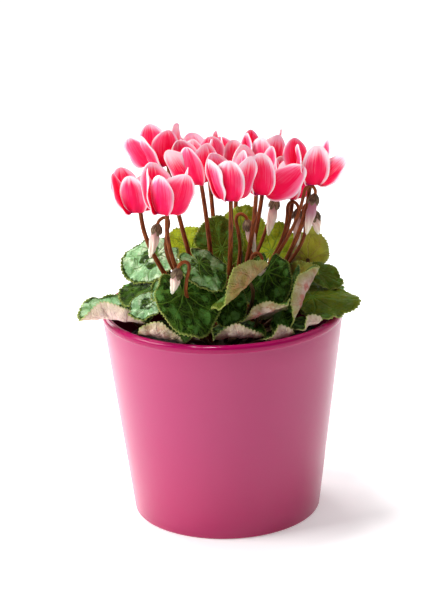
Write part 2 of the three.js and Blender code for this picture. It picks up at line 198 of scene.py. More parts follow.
@dataclass
class Build:
    """A mesh under construction, with what its finishes read at each corner.

    Args:
        name: The name of the piece.
        mesh: The mesh itself.
    """

    name: str
    mesh: bmesh.types.BMesh = field(default_factory=bmesh.new)

    def __post_init__(self) -> None:
        """Adds the layers that the finishes read."""
        layers = self.mesh.verts.layers
        self.flat = layers.float_vector.new("flat")
        self.side = layers.float.new("side")
        self.marks = layers.float_vector.new("marks")

    def skin(self, patch: Patch) -> list[bmesh.types.BMFace]:
        """Adds a single skin, with its open seam and poles closed.

        Args:
            patch: Its grid.

        Returns:
            The faces of the skin.
        """
        columns, rows = patch.cells
        made = bmesh.ops.create_grid(self.mesh, x_segments=columns, y_segments=rows, size=0.5)
        verts = made["verts"]
        bmesh.ops.translate(self.mesh, verts=verts, vec=(0.5, 0.5, 0.0))
        for vert in verts:
            across, along = vert.co.x, vert.co.y
            vert[self.flat] = patch.flat(across, along)
            vert[self.marks] = patch.marks
            vert[self.side] = Face.TOP.value
            vert.co = patch.place(across, along)
        faces = list(dict.fromkeys(face for vert in verts for face in vert.link_faces))
        for face in faces:
            face.material_index = patch.slot
            face.smooth = True
        bmesh.ops.remove_doubles(self.mesh, verts=verts, dist=MERGE)
        return [face for face in faces if face.is_valid]

    def sheet(self, patch: Patch, thickness: float) -> None:
        """Adds a thin sheet with a top, an underside and a rim.

        Args:
            patch: Its grid.
            thickness: Its thickness.
        """
        top = self.skin(patch)
        self.mesh.normal_update()
        verts = list(dict.fromkeys(vert for face in top for vert in face.verts))
        edges = list(dict.fromkeys(edge for face in top for edge in face.edges))
        normals = {vert: vert.normal.copy() for vert in verts}
        made = bmesh.ops.duplicate(self.mesh, geom=verts + edges + top)
        for vert in verts:
            twin = made["vert_map"][vert]
            twin[self.side] = Face.UNDER.value
            twin.co = vert.co - normals[vert] * (thickness / 2)
            vert.co = vert.co + normals[vert] * (thickness / 2)
        under = [item for item in made["geom"] if isinstance(item, bmesh.types.BMFace)]
        bmesh.ops.reverse_faces(self.mesh, faces=under)
        twins = [item for item in made["geom"] if isinstance(item, bmesh.types.BMEdge)]
        rims = [edge for edge in edges + twins if edge.is_boundary]
        for edge in rims:
            edge.smooth = False
        for face in bmesh.ops.bridge_loops(self.mesh, edges=rims)["faces"]:
            face.material_index = patch.slot
            face.smooth = True

    def tube(
        self,
        route: Sequence[Vector],
        radius: Callable[[float], float],
        sides: int,
        slot: int,
    ) -> None:
        """Adds a closed tube along a route.

        Args:
            route: The points of its middle line.
            radius: Its radius at a share of its length.
            sides: The number of its sides.
            slot: The number of the finish.
        """
        last = len(route) - 1
        rows = last + 2
        tangents = [
            (route[min(k + 1, last)] - route[max(k - 1, 0)]).normalized() for k in range(last + 1)
        ]
        across = tangents[0].orthogonal().normalized()
        frames: list[tuple[Vector, Vector]] = []
        for tangent in tangents:
            across = (across - tangent * across.dot(tangent)).normalized()
            frames.append((across.copy(), tangent.cross(across)))
        lengths = [0.0]
        for start, end in zip(route, route[1:]):
            lengths.append(lengths[-1] + (end - start).length)

        def ring(along: float) -> int:
            """The route's point for a row: each pole shares the point of its neighbour."""
            return min(max(round(along * rows) - 1, 0), last)

        def place(turn: float, along: float) -> Vector:
            """The place of a corner on its ring, or on the pole at an end.

            Args:
                turn: How far round it lies, in turns.
                along: How far along it lies, from 0 to 1.

            Returns:
                The place.
            """
            at = ring(along)
            closed = along < 0.5 / rows or along > 1 - 0.5 / rows
            size = 0.0 if closed else radius(at / last)
            one, two = frames[at]
            return route[at] + (one * math.cos(turn * TURN) + two * math.sin(turn * TURN)) * size

        def flat(turn: float, along: float) -> Vector:
            """How far round a corner lies, its millimetres along the route and their share."""
            at = ring(along)
            return Vector((turn, lengths[at] / MM, at / last))

        self.skin(Patch((sides, rows), place, flat, slot))

    def finish(self, nodes: Sequence[str], finishes: Sequence[Material]) -> None:
        """Turns the mesh into a piece that stands for its CAD nodes.

        Args:
            nodes: The CAD nodes that the piece stands for.
            finishes: The piece's materials, by number.
        """
        bmesh.ops.recalc_face_normals(self.mesh, faces=self.mesh.faces[:])
        data = bpy.data.meshes.new(self.name)
        self.mesh.to_mesh(data)
        self.mesh.free()
        for material in finishes:
            data.materials.append(material)
        piece = show(self.name, data)
        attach(piece, "root")
        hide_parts(*nodes)
        log.info("%s: %d faces", self.name, len(data.polygons))


# Finishes


@dataclass(frozen=True)
class Value:
    """What a node gives at each point. Plain arithmetic on it adds the nodes for it.

    Args:
        nodes: The tree that it belongs to.
        socket: The node's output.
    """

    nodes: "Nodes"
    socket: bpy.types.NodeSocket

    def __add__(self, other: "Value | float") -> "Value":
        """This value and another."""
        return self.nodes.math("ADD", self, other)

    def __sub__(self, other: "Value | float") -> "Value":
        """This value less another."""
        return self.nodes.math("SUBTRACT", self, other)

    def __rsub__(self, other: float) -> "Value":
        """A number less this value."""
        return self.nodes.math("SUBTRACT", other, self)

    def __mul__(self, other: "Value | float") -> "Value":
        """This value times another."""
        return self.nodes.math("MULTIPLY", self, other)

    def __truediv__(self, other: "Value | float") -> "Value":
        """This value divided by another."""
        return self.nodes.math("DIVIDE", self, other)

    def __pow__(self, power: float) -> "Value":
        """This value to a power."""
        return self.nodes.math("POWER", self, power)

    def __abs__(self) -> "Value":
        """This value without its sign."""
        return self.nodes.math("ABSOLUTE", self)


Input = Value | Colour | float
Inputs = dict[str | int, Input]


@dataclass
class Nodes:
    """A material's node tree, with short ways to add to it.

    Args:
        name: The material's name.
    """

    name: str

    def __post_init__(self) -> None:
        """Makes the material and its main shader."""
        self.material = bpy.data.materials.new(self.name)
        self.material.use_nodes = True
        self.tree = self.material.node_tree
        self.shader = self.tree.nodes["Principled BSDF"]

    def add(self, kind: str, output: str | int, inputs: Inputs, **settings: str) -> Value:
        """Adds a node.

        Args:
            kind: Its kind.
            output: The output that is used.
            inputs: What its inputs are set or linked to.
            settings: Its properties.

        Returns:
            What the output gives.
        """
        node = self.tree.nodes.new(kind)
        for key, value in settings.items():
            setattr(node, key, value)
        for key, value in inputs.items():
            self.put(node.inputs[key], value)
        return Value(self, node.outputs[output])

    def put(self, socket: bpy.types.NodeSocket, value: Input) -> None:
        """Links a socket to a node's value, or sets it.

        Args:
            socket: The socket.
            value: A node's value, a colour or a number.
        """
        if isinstance(value, Value):
            self.tree.links.new(value.socket, socket)
        elif socket.type == "RGBA":
            socket.default_value = (*value, 1.0)
        else:
            socket.default_value = value

    def carried(self, name: str) -> tuple[Value, ...]:
        """The three values that the mesh carries at its corners."""
        return self.split(self.add("ShaderNodeAttribute", "Vector", {}, attribute_name=name))

    def side(self) -> Value:
        """The side of a thin sheet."""
        return self.add("ShaderNodeAttribute", "Fac", {}, attribute_name="side")

    def position(self) -> Value:
        """The place on the piece, in metres."""
        return self.add("ShaderNodeTexCoord", "Object", {})

    def math(self, operation: str, first: Value | float, second: Value | float = 0.0) -> Value:
        """The result of an operation on one or two values."""
        return self.add("ShaderNodeMath", 0, {0: first, 1: second}, operation=operation)

    def split(self, vector: Value) -> tuple[Value, ...]:
        """The three parts of a vector."""
        part = self.add("ShaderNodeSeparateXYZ", 0, {0: vector})
        return tuple(Value(self, output) for output in part.socket.node.outputs)

    def join(self, x: Value | float, y: Value | float, z: Value | float) -> Value:
        """A vector of three parts."""
        return self.add("ShaderNodeCombineXYZ", 0, {0: x, 1: y, 2: z})

    def noise(self, vector: Value, scale: float, detail: float = 3.0) -> Value:
        """A soft random value from 0 to 1."""
        inputs = {"Vector": vector, "Scale": scale, "Detail": detail}
        return self.add("ShaderNodeTexNoise", "Fac", inputs)

    def cells(self, vector: Value, scale: float) -> Value:
        """The distance to the nearest border of random cells."""
        inputs = {"Vector": vector, "Scale": scale}
        return self.add("ShaderNodeTexVoronoi", "Distance", inputs, feature="DISTANCE_TO_EDGE")

    def rise(self, value: Value, low: float, high: float, to: float = 1.0) -> Value:
        """A smooth rise from 0 at low to a level at high, or a fall where high is the lower.

        Args:
            value: What is read.
            low: Where it gives 0.
            high: Where it gives the level.
            to: The level.

        Returns:
            The rise.
        """
        first, last = (0.0, to) if low < high else (to, 0.0)
        inputs = {"Value": value, "From Min": min(low, high), "From Max": max(low, high)}
        inputs |= {"To Min": first, "To Max": last}
        return self.add("ShaderNodeMapRange", "Result", inputs, interpolation_type="SMOOTHSTEP")

    def mix(self, share: Value, first: Value | Colour, second: Value | Colour) -> Value:
        """A mix of two colours: all of the first at a share of 0."""
        inputs = {"Factor": share, 6: first, 7: second}
        return self.add("ShaderNodeMix", 2, inputs, data_type="RGBA")

    def bump(self, height: Value, strength: float, distance: float) -> None:
        """Relief on the main shader."""
        inputs = {"Strength": strength, "Distance": distance, "Height": height}
        self.put(self.shader.inputs["Normal"], self.add("ShaderNodeBump", "Normal", inputs))

    def set(self, **values: Input) -> None:
        """Sets the main shader's sockets, their names written with underscores."""
        for key, value in values.items():
            self.put(self.shader.inputs[key.replace("_", " ")], value)


@dataclass(frozen=True)
class LeafFinish:
    """The waxy blade: green with silver marbling above, olive pink to cream below, with painted
    backlight, sheen and shade on it.

    Args:
        deep: The darkest green.
        fresh: The common green.
        lit: A painted backlight: the yellow green of a blade with light behind it.
        silver: The marbling of a dark leaf.
        mist: The marbling of a silvery leaf, partly a painted sheen.
        pearl: Its brightest patches, partly a painted highlight.
        vein: The veins above.
        edge: The margin.
        cream: A pale underside, partly painted light: the colour of an underside in full light.
        dusk: A dark underside, partly painted shade: the colour of an underside in shadow.
        flush: The pink of the underside's spots and veins.
        olive: A painted backlight on the underside: its colour with light behind it.
        fan: The angle between two main veins, in degrees.
    """

    deep: Colour = (0.003, 0.009, 0.001)
    fresh: Colour = (0.028, 0.078, 0.002)
    lit: Colour = (0.470, 0.560, 0.015)
    silver: Colour = (0.065, 0.200, 0.022)
    mist: Colour = (0.270, 0.500, 0.240)
    pearl: Colour = (0.740, 0.930, 0.620)
    vein: Colour = (0.100, 0.210, 0.022)
    edge: Colour = (0.330, 0.400, 0.090)
    cream: Colour = (0.870, 0.660, 0.580)
    dusk: Colour = (0.230, 0.115, 0.055)
    flush: Colour = (0.520, 0.150, 0.130)
    olive: Colour = (0.620, 0.600, 0.050)
    fan: float = 38.0

    def veins(self, n: Nodes, plane: Value, seed: Value) -> Value:
        """The main veins that fan out from the stalk, their branches and the fine net.

        Args:
            n: The material's nodes.
            plane: The place on the flat blade, with a number that varies the noise.
            seed: A number that varies the branches.

        Returns:
            The strength of the veins.
        """
        x, y, share = n.carried("flat")
        spacing = math.radians(self.fan)
        radius = n.math("SQRT", x**2.0 + y**2.0)
        warp = (n.noise(plane, 3.2) - 0.5) * 0.5
        turn = (n.math("ARCTAN2", y, x) + warp) / spacing
        gap = abs(turn - n.math("ROUND", turn)) * spacing * radius
        main = n.rise(gap / (0.034 - share * 0.020), 1.0, 0.2)
        net = n.cells(n.join(x + warp, y + warp, seed), 5.0)
        branch = n.rise(net, 0.06, 0.0) * n.rise(share, 0.15, 0.45, 0.7)
        fine = n.rise(n.cells(plane, 15.0), 0.10, 0.0, 0.3)
        return n.math("MAXIMUM", main, n.math("MAXIMUM", branch, fine))

    def material(self) -> Material:
        """The blade's material, its pattern on the flat blade's own coordinates.

        Returns:
            The material.
        """
        n = Nodes("leaf_blade")
        x, y, share = n.carried("flat")
        lit, silvered, paled = n.carried("marks")
        plane = n.join(x, y, (silvered + paled) * 7.0)
        veins = self.veins(n, plane, silvered)
        patch = n.noise(plane, 4.5, 5.0)
        stir = patch - 0.5
        grain = n.noise(plane, 12.0)

        green = n.mix(n.rise(n.noise(plane, 8.0), 0.3, 0.7), self.deep, self.fresh)
        # Painted backlight: the first mark turns the blade yellow green as though light shone
        # through it, and at the marble mix it also thins the marbling.
        green = n.mix(n.rise(lit, 0.1, 1.0, 0.9), green, self.lit)
        # The marbling is real silver and partly a painted sheen: its bright patches stand in for
        # the blade's glossy highlights.
        tint = n.mix(n.rise(silvered, 0.4, 1.0), self.silver, self.mist)
        bright = n.mix(silvered**2.0 * n.rise(patch, 0.42, 0.75), tint, self.pearl)
        band = n.rise(share, 0.30, 0.60) * n.rise(share, 0.97, 0.84)
        marble = n.rise(patch - 0.58 + (silvered * 0.34 + 0.02) * band, 0.0, 0.12)
        above = n.mix(marble * n.rise(lit, 0.6, 0.15), green, bright)
        above = n.mix(veins * 0.75, above, self.vein)
        above = n.mix(n.rise(share, 0.94, 1.0, 0.75), above, self.edge)

        # Partly painted light and shade: the third mark picks between the shaded and the fully lit
        # underside colour, besides the blade's own paleness.
        under = n.mix(n.rise(paled + stir, 0.1, 1.0), self.dusk, self.cream)
        spots = n.rise(n.noise(plane, 6.5), 0.48, 0.66, 0.85) * n.rise(paled, 1.1, 0.6)
        under = n.mix(spots, under, self.flush)
        # Painted backlight on the underside: the first mark turns one half yellow as though light
        # shone through it.
        glow = n.rise(lit, 0.1, 0.8, 0.95) * n.rise(y + stir, -0.55, -0.10)
        under = n.mix(glow, under, self.olive)
        greenish = n.rise(share, 0.62, 0.95, 0.55) * n.rise(paled, 1.4, 0.5)
        under = n.mix(greenish, under, self.edge)
        under = n.mix(veins * 0.3, under, self.flush)
        under = n.mix(n.rise(share, 0.95, 1.0, 0.6), under, self.edge)

        n.set(
            Base_Color=n.mix(n.rise(n.side(), 0.45, 0.55), under, above),
            Roughness=n.rise(grain, 0.2, 0.8, 0.3) + 0.22,
            Subsurface_Weight=0.1,
            Subsurface_Radius=(0.4, 0.6, 0.15),
            Subsurface_Scale=0.002,
            Specular_IOR_Level=0.06,
        )
        n.bump(grain - veins, 0.7, 0.0011)
        return n.material


@dataclass(frozen=True)
class StalkFinish:
    """The fleshy brown-red stalk, lighter along its ribs.

    Args:
        name: The material's name.
        dark: The common colour.
        light: The colour of its ribs and its upper end.
    """

    name: str = "flower_stalk"
    dark: Colour = (0.090, 0.015, 0.004)
    light: Colour = (0.370, 0.095, 0.018)

    def material(self) -> Material:
        """The stalk's material, its streaks along its length.

        Returns:
            The material.
        """
        n = Nodes(self.name)
        turn, length, share = n.carried("flat")
        streak = n.noise(n.join(turn * 6.0, length * 0.05, 0.0), 3.0)
        blotch = n.noise(n.position(), 260.0, 4.0)
        colour = n.mix(n.rise(streak, 0.35, 0.7), self.dark, self.light)
        colour = n.mix(n.rise(blotch, 0.5, 0.75, 0.5), colour, self.dark)
        colour = n.mix(n.rise(share, 0.75, 1.0, 0.35), colour, self.light)
        n.set(
            Base_Color=colour,
            Roughness=0.55,
            Specular_IOR_Level=0.16,
            Subsurface_Weight=0.1,
            Subsurface_Radius=(0.8, 0.25, 0.12),
            Subsurface_Scale=0.002,
            Sheen_Weight=0.1,
            Sheen_Roughness=0.4,
            Sheen_Tint=(1.0, 0.7, 0.5),
        )
        n.bump(n.noise(n.position(), 1400.0), 0.35, 0.0003)
        return n.material


@dataclass(frozen=True)
class PetalFinish:
    """The velvety petal: crimson at the mouth, pink in the middle, nearly white at its margin.

    Args:
        eye: The ring round the mouth.
        base: The lower part.
        middle: The middle.
        rose: Where it fades towards the margin.
        margin: The margin.
    """

    eye: Colour = (0.300, 0.000, 0.085)
    base: Colour = (0.620, 0.000, 0.036)
    middle: Colour = (0.950, 0.001, 0.080)
    rose: Colour = (1.000, 0.180, 0.360)
    margin: Colour = (1.000, 0.810, 0.860)

    def material(self) -> Material:
        """The petal's material, its colours on how far along and across it a point lies.

        Returns:
            The material.
        """
        n = Nodes("petal")
        across, along, seed = n.carried("flat")
        wide = abs(across)
        streak = n.noise(n.join(across * 13.0, along * 1.6, seed), 1.0, 4.0)
        soft = n.noise(n.join(across, along, seed), 2.6)
        stir = (streak * 0.5 + soft * 0.5 - 0.5) * 1.2
        flushed = wide**2.0 * 0.55 + along * 0.78
        colour = n.mix(n.rise(along, 0.15, 0.55), self.base, self.middle)
        colour = n.mix(n.rise(flushed + stir, 0.48, 1.12), colour, self.rose)
        own = n.noise(n.join(seed, 0.4, 0.8), 1.7, 0.0) - 0.5
        reach = wide**5.0 + along**6.5 + stir + own
        pale = n.rise(reach, 0.36, 1.02, 0.95) * n.rise(along, 0.12, 0.45)
        crisp = n.rise(wide, 0.78, 1.0, 0.6) * n.rise(along, 0.1, 0.4)
        colour = n.mix(n.math("MAXIMUM", pale, crisp), colour, self.margin)
        dark = n.rise(along, 0.3, 0.07) * n.rise(streak, 0.1, 0.5)
        colour = n.mix(dark, colour, self.eye)
        n.set(
            Base_Color=colour,
            Roughness=0.55,
            Specular_IOR_Level=0.12,
            Subsurface_Weight=0.45,
            Subsurface_Radius=(1.0, 0.25, 0.35),
            Subsurface_Scale=0.004,
        )
        n.bump(streak, 0.45, 0.0006)
        return n.material


@dataclass(frozen=True)
class BudFinish:
    """The furled petals of a bud: mauve under the calyx, pale pink and then cream to the tip.

    Args:
        top: The part under the calyx.
        middle: The middle.
        tip: The tip.
        mauve: The upper part of a bud that is about to open.
        vein: The veins.
    """

    top: Colour = (0.420, 0.130, 0.150)
    middle: Colour = (0.870, 0.660, 0.560)
    tip: Colour = (0.940, 0.860, 0.700)
    mauve: Colour = (0.330, 0.060, 0.150)
    vein: Colour = (0.420, 0.140, 0.110)

    def material(self) -> Material:
        """The bud's material, its veins twisted with its petals.

        Returns:
            The material.
        """
        n = Nodes("bud_petals")
        turn, along, seed = n.carried("flat")
        tone = n.carried("marks")[0]
        lines = n.join(turn * 26.0, along * 3.0, seed)
        streak = n.noise(lines, 1.0, 3.0)
        colour = n.mix(n.rise(along, 0.15, 0.55), self.top, self.middle)
        colour = n.mix(n.rise(along, 0.5, 0.95), colour, self.tip)
        high = n.rise(tone, 0.3, 1.0, 0.85) * n.rise(along, 0.8, 0.4)
        colour = n.mix(high, colour, self.mauve)
        share = n.rise(streak, 0.5, 0.7, 0.6) * n.rise(along, 0.9, 0.3)
        n.set(
            Base_Color=n.mix(share, colour, self.vein),
            Roughness=0.5,
            Subsurface_Weight=0.2,
            Subsurface_Radius=(1.0, 0.4, 0.3),
            Subsurface_Scale=0.002,
        )
        n.bump(streak, 0.4, 0.0005)
        return n.material


@dataclass(frozen=True)
class CalyxFinish:
    """The calyx: dark olive brown with paler veins to the points.

    Args:
        dark: The common colour.
        light: The veins and the points.
    """

    dark: Colour = (0.070, 0.038, 0.022)
    light: Colour = (0.240, 0.165, 0.090)

    def material(self) -> Material:
        """The calyx's material, its ribs running down its lobes.

        Returns:
            The material.
        """
        n = Nodes("calyx")
        turn, along, seed = n.carried("flat")
        lines = n.join(turn * 22.0, along * 2.0, seed)
        streak = n.noise(lines, 1.2, 3.0)
        colour = n.mix(n.rise(streak, 0.4, 0.7), self.dark, self.light)
        colour = n.mix(n.rise(along, 0.55, 1.0, 0.55), colour, self.light)
        n.set(Base_Color=colour, Roughness=0.6, Specular_IOR_Level=0.2)
        n.bump(streak, 0.5, 0.0005)
        return n.material


@dataclass(frozen=True)
class GlazeFinish:
    """The pot's glaze: satin on the wall, wet and deeper on the band, and darkened within the pot
    as a painted shade.

    Args:
        name: The material's name.
        low: The colour near the foot.
        high: The colour higher up.
        roughness: The glaze's roughness.
        coat: The weight of its clear layer.
        shine: How strongly it mirrors the room.
    """

    name: str
    low: Colour
    high: Colour
    roughness: float
    coat: float
    shine: float

    def material(self) -> Material:
        """The glaze's material, with the faint cloudiness of a fired coat.

        Returns:
            The material.
        """
        n = Nodes(self.name)
        place = n.position()
        height = n.split(place)[2]
        cloud = n.noise(place, 22.0, 4.0)
        level = height + (cloud - 0.5) * 0.02
        colour = n.mix(n.rise(level, 0.005, 0.085), self.low, self.high)
        speck = n.noise(place, 520.0, 2.0)
        colour = n.mix(n.rise(speck, 0.66, 0.75, 0.12), colour, self.low)
        n.set(
            Base_Color=colour,
            Roughness=self.roughness,
            Specular_IOR_Level=self.shine,
            Coat_Weight=self.coat,
            Coat_Roughness=self.roughness * 0.6,
        )
        n.bump(n.noise(place, 60.0, 2.0), 0.12, 0.0006)
        return n.material


@dataclass(frozen=True)
class EarthFinish:
    """A rough brown stuff: potting soil, or the tuber's bark.

    Args:
        name: The material's name.
        dark: The darker colour.
        light: The lighter colour.
        scale: How fine its grains are.
        relief: The height of its grains.
    """

    name: str
    dark: Colour
    light: Colour
    scale: float
    relief: float

    def material(self) -> Material:
        """The material, mottled and rough all over.

        Returns:
            The material.
        """
        n = Nodes(self.name)
        place = n.position()
        grain = n.noise(place, self.scale, 6.0)
        crack = n.rise(n.cells(place, self.scale * 0.8), 0.12, 0.0)
        colour = n.mix(n.rise(grain, 0.4, 0.65), self.dark, self.light)
        n.set(Base_Color=n.mix(crack, colour, self.dark), Roughness=0.92)
        n.bump(grain - crack, 0.9, self.relief)
        return n.material


# Partly painted shade: the leaf stalks' colours are darkened past their own brown to paint the
# shade in the gaps between the leaves.
SHADED_LEAF_STALK = StalkFinish("leaf_stalk", (0.050, 0.020, 0.008), (0.150, 0.080, 0.030))
WALL = GlazeFinish("glaze_wall", (0.395, 0.001, 0.088), (0.400, 0.014, 0.114), 0.38, 0.5, 0.30)
BAND = GlazeFinish("glaze_band", (0.335, 0.000, 0.075), (0.345, 0.000, 0.080), 0.12, 0.5, 0.02)
# Painted shade: the inner wall's glaze is much darker than the wall's, for the shade within the
# pot.
SHADED_INSIDE = GlazeFinish("glaze_inside", (0.060, 0.000, 0.012), (0.100, 0.000, 0.022), 0.5, 0.0, 0.06)
EARTH = EarthFinish("potting_soil", (0.008, 0.005, 0.003), (0.050, 0.030, 0.018), 420.0, 0.0012)
BARK = EarthFinish("tuber_bark", (0.045, 0.026, 0.016), (0.150, 0.095, 0.060), 130.0, 0.0010)


@dataclass(frozen=True)
class Finishes:
    """Every finish of the plant and its pot, made once.

    Args:
        leaf: A blade.
        stalk: The stalk of a leaf, its colours darkened in part as a painted shade.
        stem: The stem of a flower or bud.
        petal: A petal.
        bud: The furled petals of a bud.
        calyx: A calyx.
        wall: The pot's wall.
        band: The band round its rim.
        inside: The pot's inner wall, its glaze darkened as a painted shade.
        soil: The potting soil.
        bark: The tuber.
    """

    leaf: Material = field(default_factory=LeafFinish().material)
    stalk: Material = field(default_factory=SHADED_LEAF_STALK.material)
    stem: Material = field(default_factory=StalkFinish().material)
    petal: Material = field(default_factory=PetalFinish().material)
    bud: Material = field(default_factory=BudFinish().material)
    calyx: Material = field(default_factory=CalyxFinish().material)
    wall: Material = field(default_factory=WALL.material)
    band: Material = field(default_factory=BAND.material)
    inside: Material = field(default_factory=SHADED_INSIDE.material)
    soil: Material = field(default_factory=EARTH.material)
    bark: Material = field(default_factory=BARK.material)


# The pot and what fills it


class Coat(Enum):
    """The place of a glaze among the pot's finishes."""

    WALL = 0
    BAND = 1
    SHADED_INSIDE = 2


@dataclass(frozen=True)
class Pot:
    """The tapered planter, in millimetres.

    Args:
        height: Its height.
        foot: Its outer radius at the foot.
        rim: Its outer radius under the band.
        band: The height of the band round its rim.
        wall: The thickness of its wall.
        floor: The height of the floor inside.
        proud: How far the band stands out.
        bevel: The radius of the foot's edge.
        lip: The height of the lip's round.
        segments: The number of its sides.
    """

    height: float = 124.0
    foot: float = 55.0
    rim: float = 70.0
    band: float = 4.3
    wall: float = 4.2
    floor: float = 6.0
    proud: float = 0.5
    bevel: float = 1.8
    lip: float = 1.7
    segments: int = 128

    def side(self, z: float) -> float:
        """The outer radius at a height."""
        return self.foot + (self.rim - self.foot) / (self.height - self.band) * z

    def inner(self, z: float) -> float:
        """The inner radius at a height.

        Args:
            z: The height, above the round corner of the floor.

        Returns:
            The radius.
        """
        low = self.floor + 4
        share = (z - low) / (self.height - 1.2 - low)
        start = self.side(self.floor) - self.wall
        return start + (self.rim - self.wall - start) * share

    def outline(self) -> list[tuple[float, float]]:
        """The section from the foot's middle up the wall, over the lip and down to the floor.

        Returns:
            Its points, each a radius and a height.
        """
        band = self.height - self.band
        ring, lift = self.foot - 6, 0.6
        points = [(0.0, lift), (ring, lift), (ring + 1, 0.0), (self.foot - self.bevel, 0.0)]
        for k in range(1, 5):
            turn = k * math.pi / 8
            radius = self.side(self.bevel) - self.bevel * (1 - math.sin(turn))
            points.append((radius, self.bevel * (1 - math.cos(turn))))
        points += [(self.side(z), z) for z in range(8, 116, 9)]
        points += [(self.side(band - 0.9), band - 0.9), (self.side(band) - 0.25, band - 0.1)]
        outer = self.rim + self.proud
        points += [(outer - 0.35, band + 0.25), (outer, band + 0.9), (outer, self.height - 1.9)]
        middle = self.rim - self.wall / 2 + 0.2
        half = outer - middle
        for k in range(1, 8):
            turn = k * math.pi / 8
            z = self.height - self.lip + self.lip * math.sin(turn)
            points.append((middle + half * math.cos(turn), z))
        points += [(self.inner(z), z) for z in (self.height - 2.4, 112, 100, 80, 50, 20, 12)]
        points += [(self.side(self.floor) - self.wall - 4, self.floor), (0.0, self.floor)]
        return points

    def coat(self, radius: float, z: float) -> Coat:
        """The glaze of a spot on the surface.

        Args:
            radius: The spot's distance from the axis.
            z: Its height.

        Returns:
            The glaze.
        """
        if z > self.height - self.band:
            return Coat.BAND
        # Faces within the pot take the darkened glaze, a painted shade.
        inside = z > self.floor - 0.5 and radius < self.side(z) - self.wall / 2
        return Coat.SHADED_INSIDE if inside else Coat.WALL

    def build(self, finishes: Finishes) -> None:
        """Spins the section and glazes it.

        Args:
            finishes: The finishes of the part.
        """
        build = Build("planter")
        mesh = build.mesh
        verts = [mesh.verts.new((radius * MM, 0.0, z * MM)) for radius, z in self.outline()]
        edges = [mesh.edges.new(pair) for pair in zip(verts, verts[1:])]
        bmesh.ops.spin(
            mesh,
            geom=verts + edges,
            axis=UP,
            cent=(0.0, 0.0, 0.0),
            angle=TURN,
            steps=self.segments,
            use_merge=True,
        )
        bmesh.ops.remove_doubles(mesh, verts=mesh.verts[:], dist=MERGE)
        for face in mesh.faces:
            face.smooth = True
            middle = face.calc_center_median() / MM
            face.material_index = self.coat(middle.xy.length, middle.z).value
        build.finish(["pot"], [finishes.wall, finishes.band, finishes.inside])


@dataclass(frozen=True)
class Soil:
    """The crumbly soil, in millimetres.

    Args:
        top: The mean height of its surface.
        crumb: How uneven the surface is.
        lumps: The number of loose crumbs.
        gap: How far it stays off the pot.
    """

    top: float = 99.0
    crumb: float = 1.2
    lumps: int = 520
    gap: float = 0.6

    def level(self, x: float, y: float) -> float:
        """The height of the surface above its mean.

        Args:
            x: How far right the spot lies.
            y: How far back it lies.

        Returns:
            The height.
        """
        coarse = noise.noise(Vector((x * 0.11, y * 0.11, 3.0)))
        fine = noise.noise(Vector((x * 0.45, y * 0.45, 8.0)))
        return self.crumb * (1.1 * coarse + 0.6 * fine)

    def build(self, pot: Pot, finishes: Finishes) -> None:
        """Makes the fill and the loose crumbs on it.

        Args:
            pot: The pot that it fills.
            finishes: The finishes of the part.
        """
        build = Build("potting_soil")
        edge = pot.inner(self.top) - self.gap
        low = pot.floor + 4.2
        foot = pot.inner(low) - self.gap

        def place(turn: float, along: float) -> Vector:
            """The place of a corner: first the underside, then the side, then the surface.

            Args:
                turn: How far round it lies, in turns.
                along: How far it lies from the underside's middle to the surface's, from 0 to 1.

            Returns:
                The place.
            """
            angle = turn * TURN
            if along < 0.2:
                out, z = (foot - 4) * along / 0.2, low - 3.6
            elif along < 0.32:
                share = (along - 0.2) / 0.12
                out = foot + (edge - foot) * share
                z = low + (self.top - low) * share
            else:
                out, z = edge * (1 - along) / 0.68, self.top
            x, y = out * math.cos(angle), out * math.sin(angle)
            if along > 0.34:
                z += self.level(x, y)
            return Vector((x, y, z)) * MM

        build.skin(Patch(SOIL_CELLS, place, lambda turn, along: Vector((turn, along, 0.0))))
        for k in range(self.lumps):
            turn = k * GOLDEN_TURN
            out = edge * 0.97 * math.sqrt((k + 0.5) / self.lumps)
            x, y = out * math.cos(turn), out * math.sin(turn)
            size = 0.7 + 1.0 * abs(noise.noise(Vector((k * 1.7, 0.3, 0.9))))
            spot = Matrix.Translation(Vector((x, y, self.top + self.level(x, y) + 0.2)) * MM)
            turned = Euler((k * 1.3, k * 2.1, k * 0.7)).to_matrix().to_4x4()
            shape = Matrix.Diagonal((size * MM, size * MM * 0.8, size * MM * 0.6, 1.0))
            matrix = spot @ turned @ shape
            bmesh.ops.create_icosphere(build.mesh, subdivisions=1, radius=1.0, matrix=matrix)
        build.finish(["soil"], [finishes.soil])


@dataclass(frozen=True)
class Tuber:
    """The corky tuber, in millimetres.

    Args:
        radius: Its radius.
        middle: The height of its middle.
        half_height: Half its height.
    """

    radius: float = 23.0
    middle: float = 93.5
    half_height: float = 13.5

    def crown(self, out: float) -> float:
        """The height of its upper surface at a distance from the axis."""
        return self.middle + self.half_height * math.sqrt(max(0.0, 1 - (out / self.radius) ** 2))

    def root(self, at: Vector, share: float) -> Vector:
        """Where a stalk that leads to a point leaves the tuber.

        Args:
            at: The point.
            share: How far out it leaves, as a share of the point's distance from the axis.

        Returns:
            The place.
        """
        target = Vector((at.x, at.y))
        out = min(target.length * share, self.radius * 0.78)
        target = target.normalized() * out
        return Vector((target.x, target.y, self.crown(out) - 1))

    def build(self, finishes: Finishes) -> None:
        """Makes the tuber with its knobs.

        Args:
            finishes: The finishes of the part.
        """
        build = Build("corky_tuber")
        mesh = build.mesh
        bmesh.ops.create_uvsphere(mesh, u_segments=48, v_segments=28, radius=1.0)
        for vert in mesh.verts:
            knob = 1 + 0.035 * noise.noise(vert.co * 3.1) + 0.012 * noise.noise(vert.co * 9.0)
            broad, high = self.radius * knob, self.half_height * knob
            x, y, z = vert.co
            vert.co = Vector((x * broad, y * broad, z * high + self.middle)) * MM
        for face in mesh.faces:
            face.smooth = True
        build.finish(["tuber"], [finishes.bark])


# Leaves


